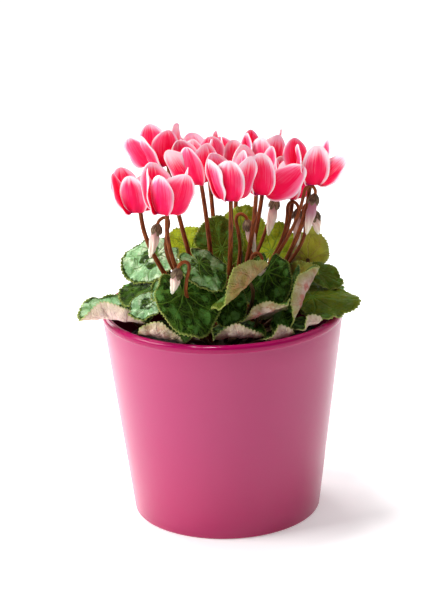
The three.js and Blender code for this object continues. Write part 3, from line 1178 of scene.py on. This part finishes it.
@dataclass(frozen=True)
class Leaf:
    """One leaf, in millimetres and degrees.

    Args:
        at: Where the stalk meets the blade.
        turn: The blade's heading, its tip's rise and its left half's rise.
        size: The length from the stalk to the tip.
        cup: The angle by which the halves rise.
        dome: How far the margin hangs.
        wave: How far the margin waves.
        rolls: Where it rolls over: direction from the tip, start, radius and sweep.
        marks: How much painted backlight it gets, how silvery it is above and how pale below, 0 to
            1; the silver is partly a painted sheen and the paleness partly painted light.
        thickness: The blade's thickness.
        stalk: The radius of its stalk at the foot.
    """

    at: Triple
    turn: Triple
    size: float
    cup: float = 0.0
    dome: float = 0.0
    wave: float = 1.0
    rolls: tuple[tuple[float, float, float, float], ...] = ()
    marks: Triple = (0.0, 0.4, 0.5)
    thickness: float = 0.65
    stalk: float = 1.25

    @staticmethod
    def reach(angle: float) -> float:
        """The reach of the heart-shaped outline.

        Args:
            angle: The angle from the tip.

        Returns:
            The reach, as a share of the blade's size.
        """
        body = 0.53 + 0.42 * math.cos(angle / 2) ** 4
        tip = 0.05 * math.exp(-((angle / 0.25) ** 2))
        notch = 1 - 0.8 * math.exp(-(((math.pi - abs(angle)) / 0.17) ** 2))
        return (body + tip) * notch

    @staticmethod
    def roll_over(point: Vector, roll: tuple[float, float, float, float]) -> None:
        """Rolls a point that lies past a line across the blade round a cylinder.

        Args:
            point: The point, which is moved.
            roll: The roll's direction from the tip, its start, its radius and its sweep.
        """
        direction, start, radius, sweep = roll
        angle = math.radians(direction)
        past = point.x * math.cos(angle) + point.y * math.sin(angle) - start
        if past <= 0:
            return
        side = math.copysign(1.0, sweep)
        turn = min(past / radius, math.radians(abs(sweep)))
        level = radius - side * point.z
        rest = past - radius * turn
        forward = level * math.sin(turn) + rest * math.cos(turn)
        point.x += math.cos(angle) * (forward - past)
        point.y += math.sin(angle) * (forward - past)
        point.z = side * (radius - level * math.cos(turn) + rest * math.sin(turn))

    @property
    def columns(self) -> int:
        """The number of cells round the blade, three to a tooth."""
        return 3 * round(2.3 * self.size + 8)

    def teeth(self, angle: float) -> float:
        """The small saw teeth of the margin."""
        tooth = (angle / TURN * self.columns / 3 + 0.02) % 1.0
        return 0.6 - abs(tooth - 0.33) * 2.2

    def point(self, angle: float, share: float) -> Vector:
        """A point of the blade in the leaf's own frame.

        Args:
            angle: Its angle from the tip.
            share: How far it lies towards the margin, from 0 to 1.

        Returns:
            The point.
        """
        edge = self.teeth(angle) * blend(0.9, 1.0, share) if abs(angle) < 2.9 else 0.0
        lobed = 1 + 0.030 * math.sin(5 * angle + self.size)
        lobed += 0.020 * math.sin(9 * angle + 2 * self.size)
        distance = (self.size * self.reach(angle) * lobed + edge) * share
        point = polar(distance, angle)
        rise = math.radians(self.cup)
        out = distance / self.size
        point.z = abs(point.y) * math.sin(rise) - self.dome * out**2
        point.z += self.wave * out**2 * math.sin(6 * angle + self.size)
        pucker = noise.noise(Vector((point.x * 0.24, point.y * 0.24, self.size)))
        frill = math.sin(angle * 17 + 2 * self.size) * out**4
        sway = math.sin(3 * angle + 1.7 * self.size) + 0.6 * math.sin(5 * angle + 2.3 * self.size)
        point.z += 1.5 * pucker * out + 0.6 * frill + 0.045 * self.size * sway * out**3
        ribs = abs(math.cos(angle * 4.74)) ** 6
        point.z -= 0.35 * ribs * out * blend(1.0, 0.7, share)
        point.y *= math.cos(rise)
        for roll in self.rolls:
            self.roll_over(point, roll)
        return point

    def matrix(self) -> Matrix:
        """The matrix that takes the blade to its place.

        Returns:
            The matrix.
        """
        heading, pitch, roll = (math.radians(value) for value in self.turn)
        turned = Euler((roll, -pitch, heading), "XYZ").to_matrix().to_4x4()
        return Matrix.Translation(self.at) @ turned

    def build(self, build: Build, root: Vector) -> None:
        """Adds the blade and its stalk.

        Args:
            build: The mesh that takes them.
            root: Where the stalk leaves the tuber.
        """
        matrix = self.matrix()

        def place(turn: float, share: float) -> Vector:
            """The place of a corner of the blade."""
            return (matrix @ self.point((1 - 2 * turn) * math.pi, share)) * MM

        def flat(turn: float, share: float) -> Vector:
            """The same corner on the flat blade, and its share towards the margin."""
            angle = (1 - 2 * turn) * math.pi
            return polar(self.reach(angle) * share, angle, share)

        blade = Patch((self.columns, BLADE_ROWS), place, flat, marks=self.marks)
        build.sheet(blade, self.thickness * MM)
        top = Vector(self.at)
        below = (matrix.to_3x3() @ Vector((-0.35, 0.0, -1.0))).normalized()
        length = (top - root).length
        control = [
            root,
            root + Vector((root.x * 0.02, root.y * 0.02, 0.3)) * length,
            top + below * (length * 0.33),
            top - (matrix.to_3x3() @ UP) * 0.2,
        ]
        route = [bezier(control, k / 16) * MM for k in range(17)]
        build.tube(route, lambda share: (self.stalk - 0.2 * share) * MM, 10, slot=1)


# Flowers and buds


def standing(at: Sequence[float], lean: tuple[float, float], turn: float) -> Matrix:
    """The matrix that takes a flower from its own frame, its stem side on +X, to its place.

    Args:
        at: The middle of its mouth.
        lean: How far, and to which side, its top leans.
        turn: The side where its stem passes.

    Returns:
        The matrix.
    """
    tilt, side = (math.radians(value) for value in lean)
    axis = Vector((-math.sin(side), math.cos(side), 0.0))
    leaned = Matrix.Rotation(tilt, 4, axis) @ Matrix.Rotation(math.radians(turn), 4, "Z")
    return Matrix.Translation(at) @ leaned


def stem_route(
    matrix: Matrix, hook: Sequence[tuple[float, float]], tuber: Tuber, spread: float
) -> list[Vector]:
    """The middle line of a stem that rises from the tuber to a hook.

    Args:
        matrix: The place of the flower or bud.
        hook: The hook's points in the flower's own frame.
        tuber: The tuber that the stem grows from.
        spread: How far out it leaves the tuber, as a share of the hook's distance.

    Returns:
        The points of the line, in metres.
    """
    top = [matrix @ Vector((x, 0.0, z)) for x, z in hook]
    root = tuber.root(top[0], spread)
    down = (matrix.to_3x3() @ -UP).normalized()
    length = (top[0] - root).length
    control = [
        root,
        root + Vector((root.x * 0.012, root.y * 0.012, 0.3)) * length,
        top[0] + down * (length * 0.3),
        top[0],
    ]
    points = [bezier(control, k / 8) for k in range(8)] + top
    return [point * MM for point in smooth_route(points, 3)]


@dataclass(frozen=True)
class Calyx:
    """A calyx: a cup that hangs down and ends in five pointed lobes, in millimetres.

    Args:
        profile: The radius at each share of its length.
        length: Its length.
        seat: The height of its closed end.
        seed: A number that varies its pattern.
        thickness: The thickness of its wall.
    """

    profile: Sequence[tuple[float, float]]
    length: float
    seat: float
    seed: float
    thickness: float = 0.3

    def build(self, build: Build, matrix: Matrix, slot: int) -> None:
        """Adds the calyx.

        Args:
            build: The mesh that takes it.
            matrix: The place of the flower or bud.
            slot: The number of the finish.
        """

        def place(turn: float, along: float) -> Vector:
            """The place of a corner, its length cut back between the lobes.

            Args:
                turn: How far round it lies, in turns.
                along: How far it lies towards the points, from 0 to 1.

            Returns:
                The place.
            """
            angle = turn * TURN
            lobe = 1 - 0.42 * blend(0.45, 1.0, along) * (1 - abs(math.cos(angle * 2.5)) ** 0.8)
            radius = between(self.profile, along) + 0.12 * math.cos(angle * 5) * along
            return (matrix @ polar(radius, angle, self.seat - self.length * along * lobe)) * MM

        def flat(turn: float, along: float) -> Vector:
            """How far round and along a corner lies, and the calyx's own number."""
            return Vector((turn, along, self.seed))

        build.sheet(Patch(CALYX_CELLS, place, flat, slot), self.thickness * MM)


@dataclass(frozen=True)
class Flower:
    """One open flower, in millimetres and degrees.

    Args:
        at: The middle of its mouth.
        lean: How far, and to which side, its top leans.
        slit: The side where its stem passes.
        size: Its size beside the common one.
        flare: How far each petal flares, counted round from the stem.
        facing: How far a flared petal turns to show its face.
        mouth: The radius of its mouth.
        crown: The radius of its tube under the calyx.
        tube: The height of its tube.
        length: A petal's length.
        width: A petal's width.
        base: What the width has more at the foot.
        tip: What it has more near the tip.
        thickness: A petal's thickness.
        hook: How far the stem passes from the axis.
        stem: The radius of the stem at the foot.
        spread: How far out its stem leaves the tuber, as a share of its distance.
        first: The angle from the stem to the first petal.
        step: The angle from one petal to the next.
    """

    at: Triple
    lean: tuple[float, float]
    slit: float
    size: float
    flare: tuple[float, ...] = (0.0, 0.0, 0.0, 0.0, 0.0)
    facing: float = 0.0
    mouth: float = 4.4
    crown: float = 3.7
    tube: float = 6.0
    length: float = 24.0
    width: float = 13.0
    base: float = 3.4
    tip: float = 6.0
    thickness: float = 0.5
    hook: float = 6.9
    stem: float = 1.5
    spread: float = 0.22
    first: float = 56.0
    step: float = 62.0

    def habit(self, number: int, which: int) -> float:
        """A number that is a petal's own.

        Args:
            number: The petal's number.
            which: The trait that it sets.

        Returns:
            The number, from -1 to 1.
        """
        x, y, z = self.at
        spot = Vector((x * 0.37 + which * 5.3, y * 0.41 + number * 3.7, z * 0.23))
        return max(-1.0, min(1.0, noise.noise(spot) * 2.2))

    @staticmethod
    def eased(row: float) -> float:
        """The share of a petal's length at a row, with closer rows at the round tip."""
        return 1 - (1 - row) ** 1.6

    def half_width(self, along: float) -> float:
        """Half a petal's width, rounded off at the tip.

        Args:
            along: The share of the petal's length.

        Returns:
            Half the width.
        """
        shoulder = 0.70
        reached = min(along, shoulder)
        swell = max(0.0, math.sin(math.pi * reached**1.7)) ** 0.65
        broad = self.size * (self.width * 1.14 * swell + self.tip * reached**8)
        broad += self.base * (1 - reached)
        past = max(0.0, along - shoulder) / (1 - shoulder)
        return broad / 2 * math.sqrt(max(0.0, 1 - past**2.0))

    def petal_point(self, across: float, along: float, number: int) -> Vector:
        """A point of a petal in the flower's own frame, before it is turned round the axis.

        Args:
            across: How far across it lies, from -1 to 1.
            along: How far along it lies, from 0 to 1.
            number: The petal's number.

        Returns:
            The point.
        """
        size = self.size
        stretch = 1 + 0.05 * self.habit(number, 1)
        bow = 11.0 * size + 1.6 * self.habit(number, 2)
        line = [
            Vector((self.mouth - 0.6, 0.0, 1.2)),
            Vector((self.mouth + 1.0, 0.0, -2.4)),
            Vector((11.5 * size, 0.0, self.length * size * 0.4)),
            Vector((bow, 0.0, self.length * size * stretch)),
        ]
        middle = bezier(line, along)
        ahead, behind = bezier(line, min(along + 0.01, 1)), bezier(line, max(along - 0.01, 0))
        tangent = (ahead - behind).normalized()
        outward = Vector((tangent.z, 0.0, -tangent.x))
        half = self.half_width(along) * (1 + 0.08 * self.habit(number, 3))
        aside = across * half * (1 + 0.16 * self.habit(number, 8) * across)
        broad = 2 * half / self.width
        turn = math.radians(22 + 9 * self.habit(number, 4)) * blend(0.0, 0.3, along)
        turn += math.radians(19 * self.habit(number, 5)) * along
        if self.flare[number] > 6:
            turn -= math.radians(self.facing) * blend(0.05, 0.5, along)
        ripple = 0.75 * math.sin(along * 15 + number * 2.1 + 2 * across)
        ripple *= abs(across) ** 3 * along * broad
        lip = 1.5 * self.habit(number, 6) * abs(across) ** 5 * blend(0.15, 0.5, along) * broad
        point = middle.copy()
        point.y += aside * math.cos(turn) + 2.0 * self.habit(number, 7) * along**2
        point += outward * (aside * math.sin(turn))
        point -= outward * (1.3 * (aside * 2 / self.width) ** 2 - ripple - lip)
        point += outward * (0.3 * math.cos(across * 6.2) * math.sin(along * 3.1) * broad)
        hinge = Vector((self.mouth, 0.0, 0.0))
        flared = Matrix.Rotation(math.radians(self.flare[number]), 3, "Y")
        return flared @ (point - hinge) + hinge

    def build(self, name: str, tuber: Tuber, finishes: Finishes) -> None:
        """Builds the bloom and its stem.

        Args:
            name: The flower's letter.
            tuber: The tuber that it grows from.
            finishes: The finishes of the part.
        """
        matrix = standing(self.at, self.lean, self.slit)
        self.build_bloom(name, matrix, finishes)
        self.build_stem(name, matrix, tuber, finishes)

    def build_bloom(self, name: str, matrix: Matrix, finishes: Finishes) -> None:
        """Builds the tube and the five petals.

        Args:
            name: The flower's letter.
            matrix: The flower's place.
            finishes: The finishes of the part.
        """
        build = Build(f"bloom_{name}_petals")
        seed = float(ord(name) % 13)
        for number in range(5):
            angle = math.radians(self.first + self.step * number)
            turned = matrix @ Matrix.Rotation(angle, 4, "Z")

            def place(across: float, row: float) -> Vector:
                """The place of a corner of the petal."""
                return (turned @ self.petal_point(across * 2 - 1, self.eased(row), number)) * MM

            def flat(across: float, row: float) -> Vector:
                """How far across and along a corner lies, and the petal's own number."""
                return Vector((across * 2 - 1, self.eased(row), seed * 3 + number))

            build.sheet(Patch(PETAL_CELLS, place, flat), self.thickness * MM)
        fold, lip = 0.3, 0.42
        profile = [(0.0, 0.3), (0.12, 2.6), (fold, self.mouth - 0.9)]
        profile += [(lip, self.mouth), (1.0, self.crown)]

        def tube(turn: float, along: float) -> Vector:
            """The place of a corner: from the throat down to the lip, then up to the calyx.

            Args:
                turn: How far round it lies, in turns.
                along: How far along it lies, from 0 to 1.

            Returns:
                The place.
            """
            angle = turn * TURN
            closed = along == 0 or along >= 0.98
            radius = 0.0 if closed else between(profile, along) * (1 + 0.06 * math.cos(angle * 5))
            if along < lip:
                z = 3.0 * (1 - along / lip) ** 1.5
            else:
                z = min(self.tube * (along - lip) / 0.54, self.tube)
            return (matrix @ polar(radius, angle, z)) * MM

        def deep(_turn: float, along: float) -> Vector:
            """What the finish reads on the tube: the dark foot of a petal."""
            return Vector((0.0, 0.06 + 0.1 * along, seed))

        build.skin(Patch(THROAT_CELLS, tube, deep))
        build.finish([f"bloom_{name}"], [finishes.petal])

    def build_stem(self, name: str, matrix: Matrix, tuber: Tuber, finishes: Finishes) -> None:
        """Builds the stem, its hook and the calyx over the tube.

        Args:
            name: The flower's letter.
            matrix: The flower's place.
            tuber: The tuber that it grows from.
            finishes: The finishes of the part.
        """
        build = Build(f"flower_stem_{name}_hooked")
        top = self.tube + 3.3
        bends = ((1, -5.0), (1, top - 2), (0.85, top + 1.3), (0.5, top + 2.9), (0.14, top + 1.4))
        hook = [(self.hook * share, z) for share, z in bends] + [(0.0, top - 1)]
        route = stem_route(matrix, hook, tuber, self.spread)
        build.tube(route, lambda share: (self.stem - 0.35 * share) * MM, 12, slot=0)
        profile = [(0.0, 0.0), (0.15, 2.4), (0.4, 3.7), (0.7, 4.0), (1.0, 3.6)]
        Calyx(profile, 4.4, top, ord(name) * 0.37).build(build, matrix, 1)
        build.finish([f"flower_stem_{name}"], [finishes.stem, finishes.calyx])


@dataclass(frozen=True)
class Bud:
    """One closed bud, in millimetres and degrees.

    Args:
        at: The top of its calyx.
        lean: How far, and to which side, its top leans.
        stem: The side where its stem comes down.
        length: From the calyx's top to the tip.
        tone: How mauve its petals are.
        width: Half its width.
        calyx: The length of its calyx.
        full: The length of a bud whose calyx is full-grown.
        spread: How far out its stem leaves the tuber, as a share of its distance.
    """

    at: Triple
    lean: tuple[float, float]
    stem: float
    length: float
    tone: float = 0.2
    width: float = 3.1
    calyx: float = 5.0
    full: float = 14.0
    spread: float = 0.115

    def build(self, name: str, tuber: Tuber, finishes: Finishes) -> None:
        """Builds the furled petals, the calyx and the stem as one piece.

        Args:
            name: The bud's name.
            tuber: The tuber that it grows from.
            finishes: The finishes of the part.
        """
        build = Build(f"bud_{name}_furled")
        matrix = standing(self.at, self.lean, self.stem)
        shares = [
            (0.0, 0.0),
            (self.calyx * 0.8 / self.length, 0.92),
            (self.calyx * 1.15 / self.length, 0.78),
            (0.45 if self.length > self.full else 0.66, 0.86),
            (0.75, 0.6),
            (0.93, 0.3),
            (1.0, 0.0),
        ]

        def place(turn: float, along: float) -> Vector:
            """The place of a corner of the five furled petals, twisted towards the tip.

            Args:
                turn: How far round it lies, in turns.
                along: How far it lies towards the tip, from 0 to 1.

            Returns:
                The place.
            """
            fold = 1 + 0.16 * blend(0.2, 0.6, along) * math.cos(turn * TURN * 5)
            radius = self.width * between(shares, along) * fold
            return (matrix @ polar(radius, turn * TURN + 1.6 * along, -self.length * along)) * MM

        def flat(turn: float, along: float) -> Vector:
            """How far round and along a corner lies, and the bud's own number."""
            return Vector((turn, along, self.length))

        build.skin(Patch(BUD_CELLS, place, flat, marks=(self.tone, 0.0, 0.0)))
        share = min(1.0, self.length / self.full)
        profile = [(0.0, 0.0), (0.12, 1.5 * share), (0.4, 2.9 * share), (0.7, 3.35), (1.0, 2.9)]
        calyx = Calyx(profile, self.calyx * 1.35 * share, 0.3, self.length)
        calyx.build(build, matrix, 1)
        hook = [(6.2, -5.0), (6.0, 1.0), (4.5, 3.8), (2.1, 4.0), (0.0, 1.5), (0.0, -1.5)]
        route = stem_route(matrix, hook, tuber, self.spread)
        build.tube(route, lambda along: (1.15 - 0.2 * along) * MM, 10, slot=2)
        build.finish([f"bud_{name}"], [finishes.bud, finishes.calyx, finishes.stem])


# The plant as it grows


@dataclass(frozen=True)
class Foliage:
    """The leaves by node. Those that share a node grow from one point of the tuber.

    Args:
        leaves: The leaves of each node.
        spread: How far out they leave the tuber, as a share of the first one's distance.
    """

    leaves: dict[str, tuple[Leaf, ...]]
    spread: float = 0.3

    def build(self, tuber: Tuber, finishes: Finishes) -> None:
        """Builds every leaf.

        Args:
            tuber: The tuber that they grow from.
            finishes: The finishes of the part.
        """
        for name, leaves in self.leaves.items():
            build = Build(f"{name}_blade")
            root = tuber.root(Vector(leaves[0].at), self.spread)
            for leaf in leaves:
                leaf.build(build, root)
            build.finish([name], [finishes.leaf, finishes.stalk])


LEAVES: dict[str, tuple[Leaf, ...]] = {
    "leaf_front_left": (
        Leaf((-22, -46, 148), (303, -44, 0), 28, cup=3, dome=3, wave=1.2, marks=(0.0, 0.2, 0.3)),
    ),
    "leaf_inner_left": (Leaf((-13, -28, 160), (320, -34, 8), 21, dome=2, marks=(0.0, 0.6, 0.4)),),
    "leaf_folded": (
        Leaf(
            (14.5, -40, 152.5), (226, -24, 0), 27, wave=0.6,
            rolls=((90, 1, 4, 105), (-90, 2, 6, -60)), marks=(0.34, 0.3, 0.34),
        ),
    ),
    "leaf_dark_right": (
        Leaf((26, -19, 150), (256, -56, 4), 23, cup=2, dome=1, marks=(0.0, 0.25, 0.3)),
    ),
    "leaf_upper_left": (Leaf((-37, 2, 156), (205, -24, -22), 24, dome=2, marks=(0.1, 1.0, 0.6)),),
    "leaf_mid_left": (Leaf((-38, -14, 143), (209, -20, -6), 24, marks=(0.15, 0.05, 0.1)),),
    "leaf_far_left": (
        Leaf((-54, -26, 130.5), (188, 2, -14), 29, rolls=((75, 8, 4, 110),), marks=(0.0, 0.8, 1.0)),
    ),
    "leaf_mint": (Leaf((-41, -34, 139), (228, -24, -8), 15, cup=6, dome=1, marks=(0.1, 1.0, 0.6)),),
    "leaf_left_curl": (
        Leaf(
            (-29, -33, 149), (214, -30, -10), 14, wave=0.8,
            rolls=((80, 3, 3, 100),), marks=(0.2, 0.7, 0.6),
        ),
    ),
    "leaf_rim_left": (
        Leaf((-30, -40, 123.5), (238, -4, -8), 22, rolls=((10, 9, 4, 110),), marks=(0.0, 0.3, 0.8)),
    ),
    "leaf_silver": (Leaf((3, -32, 139), (268, -54, 0), 17, cup=8, marks=(0.0, 0.3, 0.2)),),
    "leaf_rolled_front": (
        Leaf(
            (19.5, -41.5, 133), (350, 20, 0), 20, wave=0.6,
            rolls=((-80, 5, 4, 105), (90, 3, 4, -60)), marks=(0.0, 0.4, 0.6),
        ),
    ),
    "leaf_rolled_right": (
        Leaf(
            (42, -23, 143), (241, -33, 0), 32, wave=0.8,
            rolls=((90, 6, 4, 110), (-90, 2, 4, -80)), marks=(0.1, 0.3, 0.55),
        ),
    ),
    "leaf_rim_front": (
        Leaf((9, -41, 124), (268, -6, 0), 23, rolls=((0, 10, 5, 110),), marks=(0.0, 0.3, 0.9)),
    ),
    "leaf_rim_mid": (
        Leaf((29, -48, 122), (300, 0, 0), 14, rolls=((0, 4.5, 3, 100),), marks=(0.0, 0.3, 0.9)),
    ),
    "leaf_rim_right": (
        Leaf((44, -37, 125.5), (315, -2, 0), 15, rolls=((0, 6, 3.5, 100),), marks=(0.0, 0.3, 0.9)),
    ),
    "leaf_far_right": (
        Leaf((52, -13, 132.5), (354, -6, 12), 27, cup=-6, marks=(0.45, 0.35, 0.5)),
        Leaf((53, -22, 127.5), (335, -4, 0), 17, marks=(0.3, 0.3, 0.5)),
    ),
    "leaf_right_small": (
        Leaf((57, 5, 141), (352, -24, 22), 15, cup=4, dome=1, marks=(0.36, 0.2, 0.5)),
    ),
    "leaf_right_fold": (
        Leaf(
            (44, 2, 142), (280, 0, 0), 17, wave=0.8,
            rolls=((0, 4, 4, 95),), marks=(0.6, 0.3, 0.2),
        ),
    ),
    "leaf_upright": (
        Leaf((51, 24, 143.5), (275, 80, 0), 19, dome=-2, wave=0.8, marks=(1.0, 0.1, 0.5)),
    ),
    "leaf_back_left": (Leaf((0, 18.5, 153), (106, 56, -4), 21, dome=2, marks=(0.30, 0.2, 0.0)),),
    "leaf_back_mid": (Leaf((12, 31, 156.5), (84, 50, 0), 21, dome=2, marks=(0.56, 0.2, 0.0)),),
    "leaf_back_small": (Leaf((-17, 24, 152), (118, 40, -10), 18, dome=2, marks=(0.7, 0.1, 0.2)),),
    "leaf_back_right": (Leaf((29.5, 20, 150), (52, 46, 6), 19, dome=1, marks=(0.65, 0.2, 0.2)),),
    "leaf_behind_middle": (Leaf((1, 36, 133), (89, 60, 0), 25.5, cup=6, marks=(0.42, 0.3, 0.2)),),
    "leaf_behind_left": (
        Leaf((-34, 36, 138), (140, -16, 0), 27, dome=2, marks=(0.2, 0.6, 0.4)),
        Leaf((-14, 53, 135), (106, -12, 0), 23, dome=2, marks=(0.2, 0.5, 0.4)),
    ),
    "leaf_behind_right": (
        Leaf((20, 50.5, 138.5), (76, -20, 0), 26, dome=2, marks=(0.2, 0.5, 0.4)),
        Leaf((45, 37, 134), (38, -16, 0), 23, dome=2, marks=(0.2, 0.6, 0.4)),
        Leaf((56, 15, 131), (8, -12, 0), 18, dome=1, marks=(0.2, 0.4, 0.4)),
    ),
}

FLOWERS: dict[str, Flower] = {
    "a": Flower((-46.5, -24, 190), (4, 180), 80, 0.98, (0, 4, 0, 0, 0)),
    "b": Flower((-31, -45, 194.5), (6, 20), 75, 1.06, (0, 2, 4, 6, 0)),
    "c": Flower((-33, 10, 207), (8, 200), 60, 0.95, (4, 15, 4, 0, 0), 98),
    "d": Flower((-12, -8, 201), (8, 190), 80, 1.0, (0, 8, 0, 0, 0), 70),
    "e": Flower((6, -42, 200.5), (2, 90), 90, 1.05, (0, 0, -2, 0, 0)),
    "f": Flower((22, -22, 198), (4, 0), 100, 1.06, (0, 0, 0, 34, 0), 88),
    "g": Flower((26, 25, 198), (4, 0), 85, 0.95),
    "h": Flower((52, -15, 201), (3, 0), 95, 1.0, (0, 0, 0, 24, 0), 66),
    "i": Flower((-9, 32, 198), (6, 180), 70, 0.9),
    "j": Flower((10, 46, 191), (6, 90), 90, 0.9),
    "k": Flower((41, 8, 186), (6, 45), 80, 0.95),
}

BUDS: dict[str, Bud] = {
    "left": Bud((-35, -30, 184), (15, 0), 10, 21, 0.2),
    "front_left": Bud((-24, -53, 165), (15, 0), 8, 16, 0.2),
    "middle": Bud((15, -10, 179), (12, 180), 180, 21, 0.2),
    "middle_right": Bud((32, -2, 189), (12, 0), 90, 23, 0.2),
    "right": Bud((45, 6, 180), (2, 0), 180, 23, 0.1),
    "upper_right": Bud((54, -14, 194.5), (12, 0), 180, 25, 0.9),
    "low_right": Bud((54, 2, 180), (10, 180), 180, 15, 0.3),
    "young": Bud((23, -23, 158), (10, 0), 170, 9, 0.5),
}


# The studio


@dataclass(frozen=True)
class Lamp:
    """A soft square lamp.

    Args:
        name: Its name.
        at: Its place.
        width: Its width.
        power: Its power in watts.
    """

    name: str
    at: Triple
    width: float
    power: float

    def build(self, target: Vector) -> None:
        """Hangs the lamp and aims it.

        Args:
            target: The point that it shines at.
        """
        data = bpy.data.lights.new(self.name, "AREA")
        data.energy = self.power
        data.size = self.width
        lamp = show(self.name, data)
        lamp.location = self.at
        lamp.rotation_euler = (target - Vector(self.at)).to_track_quat("-Z", "Y").to_euler()


@dataclass(frozen=True)
class Studio:
    """The camera at the photograph's angle, the pale floor and the lamps.

    Args:
        target: The point that the camera looks at.
        distance: The camera's distance from it.
        elevation: The camera's height over it, in degrees.
        roll: The camera's roll, in degrees.
        lens: The length of its lens in millimetres.
        sensor: The height of its sensor in millimetres.
        far: How far it sees.
        ground: Half the width of the floor.
        paint: The grey of the floor.
        glow: How brightly the floor shines by itself.
        backdrop: The strength of the light from behind the part.
        room: The strength of the light from in front of it.
        fade: How far from the middle the one gives way to the other.
        lamps: The lamps.
    """

    target: Triple = (-0.00177, 0.0, 0.124)
    distance: float = 1.3
    elevation: float = 18.85
    roll: float = -1.51
    lens: float = 131.2
    sensor: float = 36.0
    far: float = 20.0
    ground: float = 6.0
    paint: float = 0.95
    glow: float = 0.32
    backdrop: float = 0.75
    room: float = 0.12
    fade: float = 0.35
    lamps: tuple[Lamp, ...] = (
        Lamp("key_left", (-1.2, -0.25, 0.9), 0.8, 19.5),
        Lamp("back_left", (-0.6, 1.0, 0.9), 0.8, 11.0),
        Lamp("front_fill", (-0.9, -1.5, 1.1), 0.9, 2.0),
        Lamp("overhead", (-0.22, 0.10, 1.5), 0.3, 10.0),
    )

    def build_camera(self) -> None:
        """Places the camera."""
        angle = math.radians(self.elevation)
        back = Vector((0.0, -math.cos(angle), math.sin(angle)))
        data = bpy.data.cameras.new("camera")
        data.sensor_fit = "VERTICAL"
        data.sensor_height = self.sensor
        data.lens = self.lens
        data.clip_end = self.far
        camera = show("camera", data)
        camera.location = Vector(self.target) + back * self.distance
        level = Euler((math.pi / 2 - angle, 0.0, 0.0)).to_matrix()
        rolled = level @ Matrix.Rotation(math.radians(self.roll), 3, "Z")
        camera.rotation_euler = rolled.to_euler()
        bpy.context.scene.camera = camera

    def build_floor(self) -> None:
        """Lays the pale floor."""
        mesh = bmesh.new()
        bmesh.ops.create_grid(mesh, x_segments=1, y_segments=1, size=self.ground)
        data = bpy.data.meshes.new("floor")
        mesh.to_mesh(data)
        mesh.free()
        nodes = Nodes("floor_paint")
        nodes.set(
            Base_Color=(self.paint, self.paint, self.paint),
            Roughness=0.9,
            Specular_IOR_Level=0.1,
            Emission_Color=(1.0, 1.0, 1.0),
            Emission_Strength=self.glow,
        )
        data.materials.append(nodes.material)
        floor = show("floor", data)

    def build_light(self) -> None:
        """Lights the part with a white backdrop, a dim room in front of it and the lamps."""
        world = bpy.data.worlds.new("room")
        world.use_nodes = True
        tree = world.node_tree
        sky = tree.nodes["Background"]
        sky.inputs["Color"].default_value = (1.0, 1.0, 1.0, 1.0)
        place = tree.nodes.new("ShaderNodeTexCoord")
        split = tree.nodes.new("ShaderNodeSeparateXYZ")
        level = tree.nodes.new("ShaderNodeMapRange")
        level.interpolation_type = "SMOOTHSTEP"
        ends = {"From Min": -self.fade, "From Max": self.fade}
        ends |= {"To Min": self.room, "To Max": self.backdrop}
        for key, value in ends.items():
            level.inputs[key].default_value = value
        tree.links.new(place.outputs["Object"], split.inputs[0])
        tree.links.new(split.outputs["Y"], level.inputs["Value"])
        tree.links.new(level.outputs["Result"], sky.inputs["Strength"])
        bpy.context.scene.world = world
        for lamp in self.lamps:
            lamp.build(Vector(self.target))
        bpy.context.scene.view_settings.view_transform = "Standard"

    def build(self) -> None:
        """Sets up the whole studio."""
        self.build_camera()
        self.build_floor()
        self.build_light()


def write_sizes() -> None:
    """Updates the view layer.
    """
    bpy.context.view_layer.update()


def main() -> None:
    """Builds the studio, the pot and the plant."""
    logging.basicConfig(level=logging.INFO, format="%(name)s: %(message)s")
    Studio().build()
    finishes = Finishes()
    pot = Pot()
    tuber = Tuber()
    pot.build(finishes)
    Soil().build(pot, finishes)
    tuber.build(finishes)
    for name, flower in FLOWERS.items():
        flower.build(name, tuber, finishes)
    for name, bud in BUDS.items():
        bud.build(name, tuber, finishes)
    Foliage(LEAVES).build(tuber, finishes)
    write_sizes()


if __name__ == "__main__":
    main()
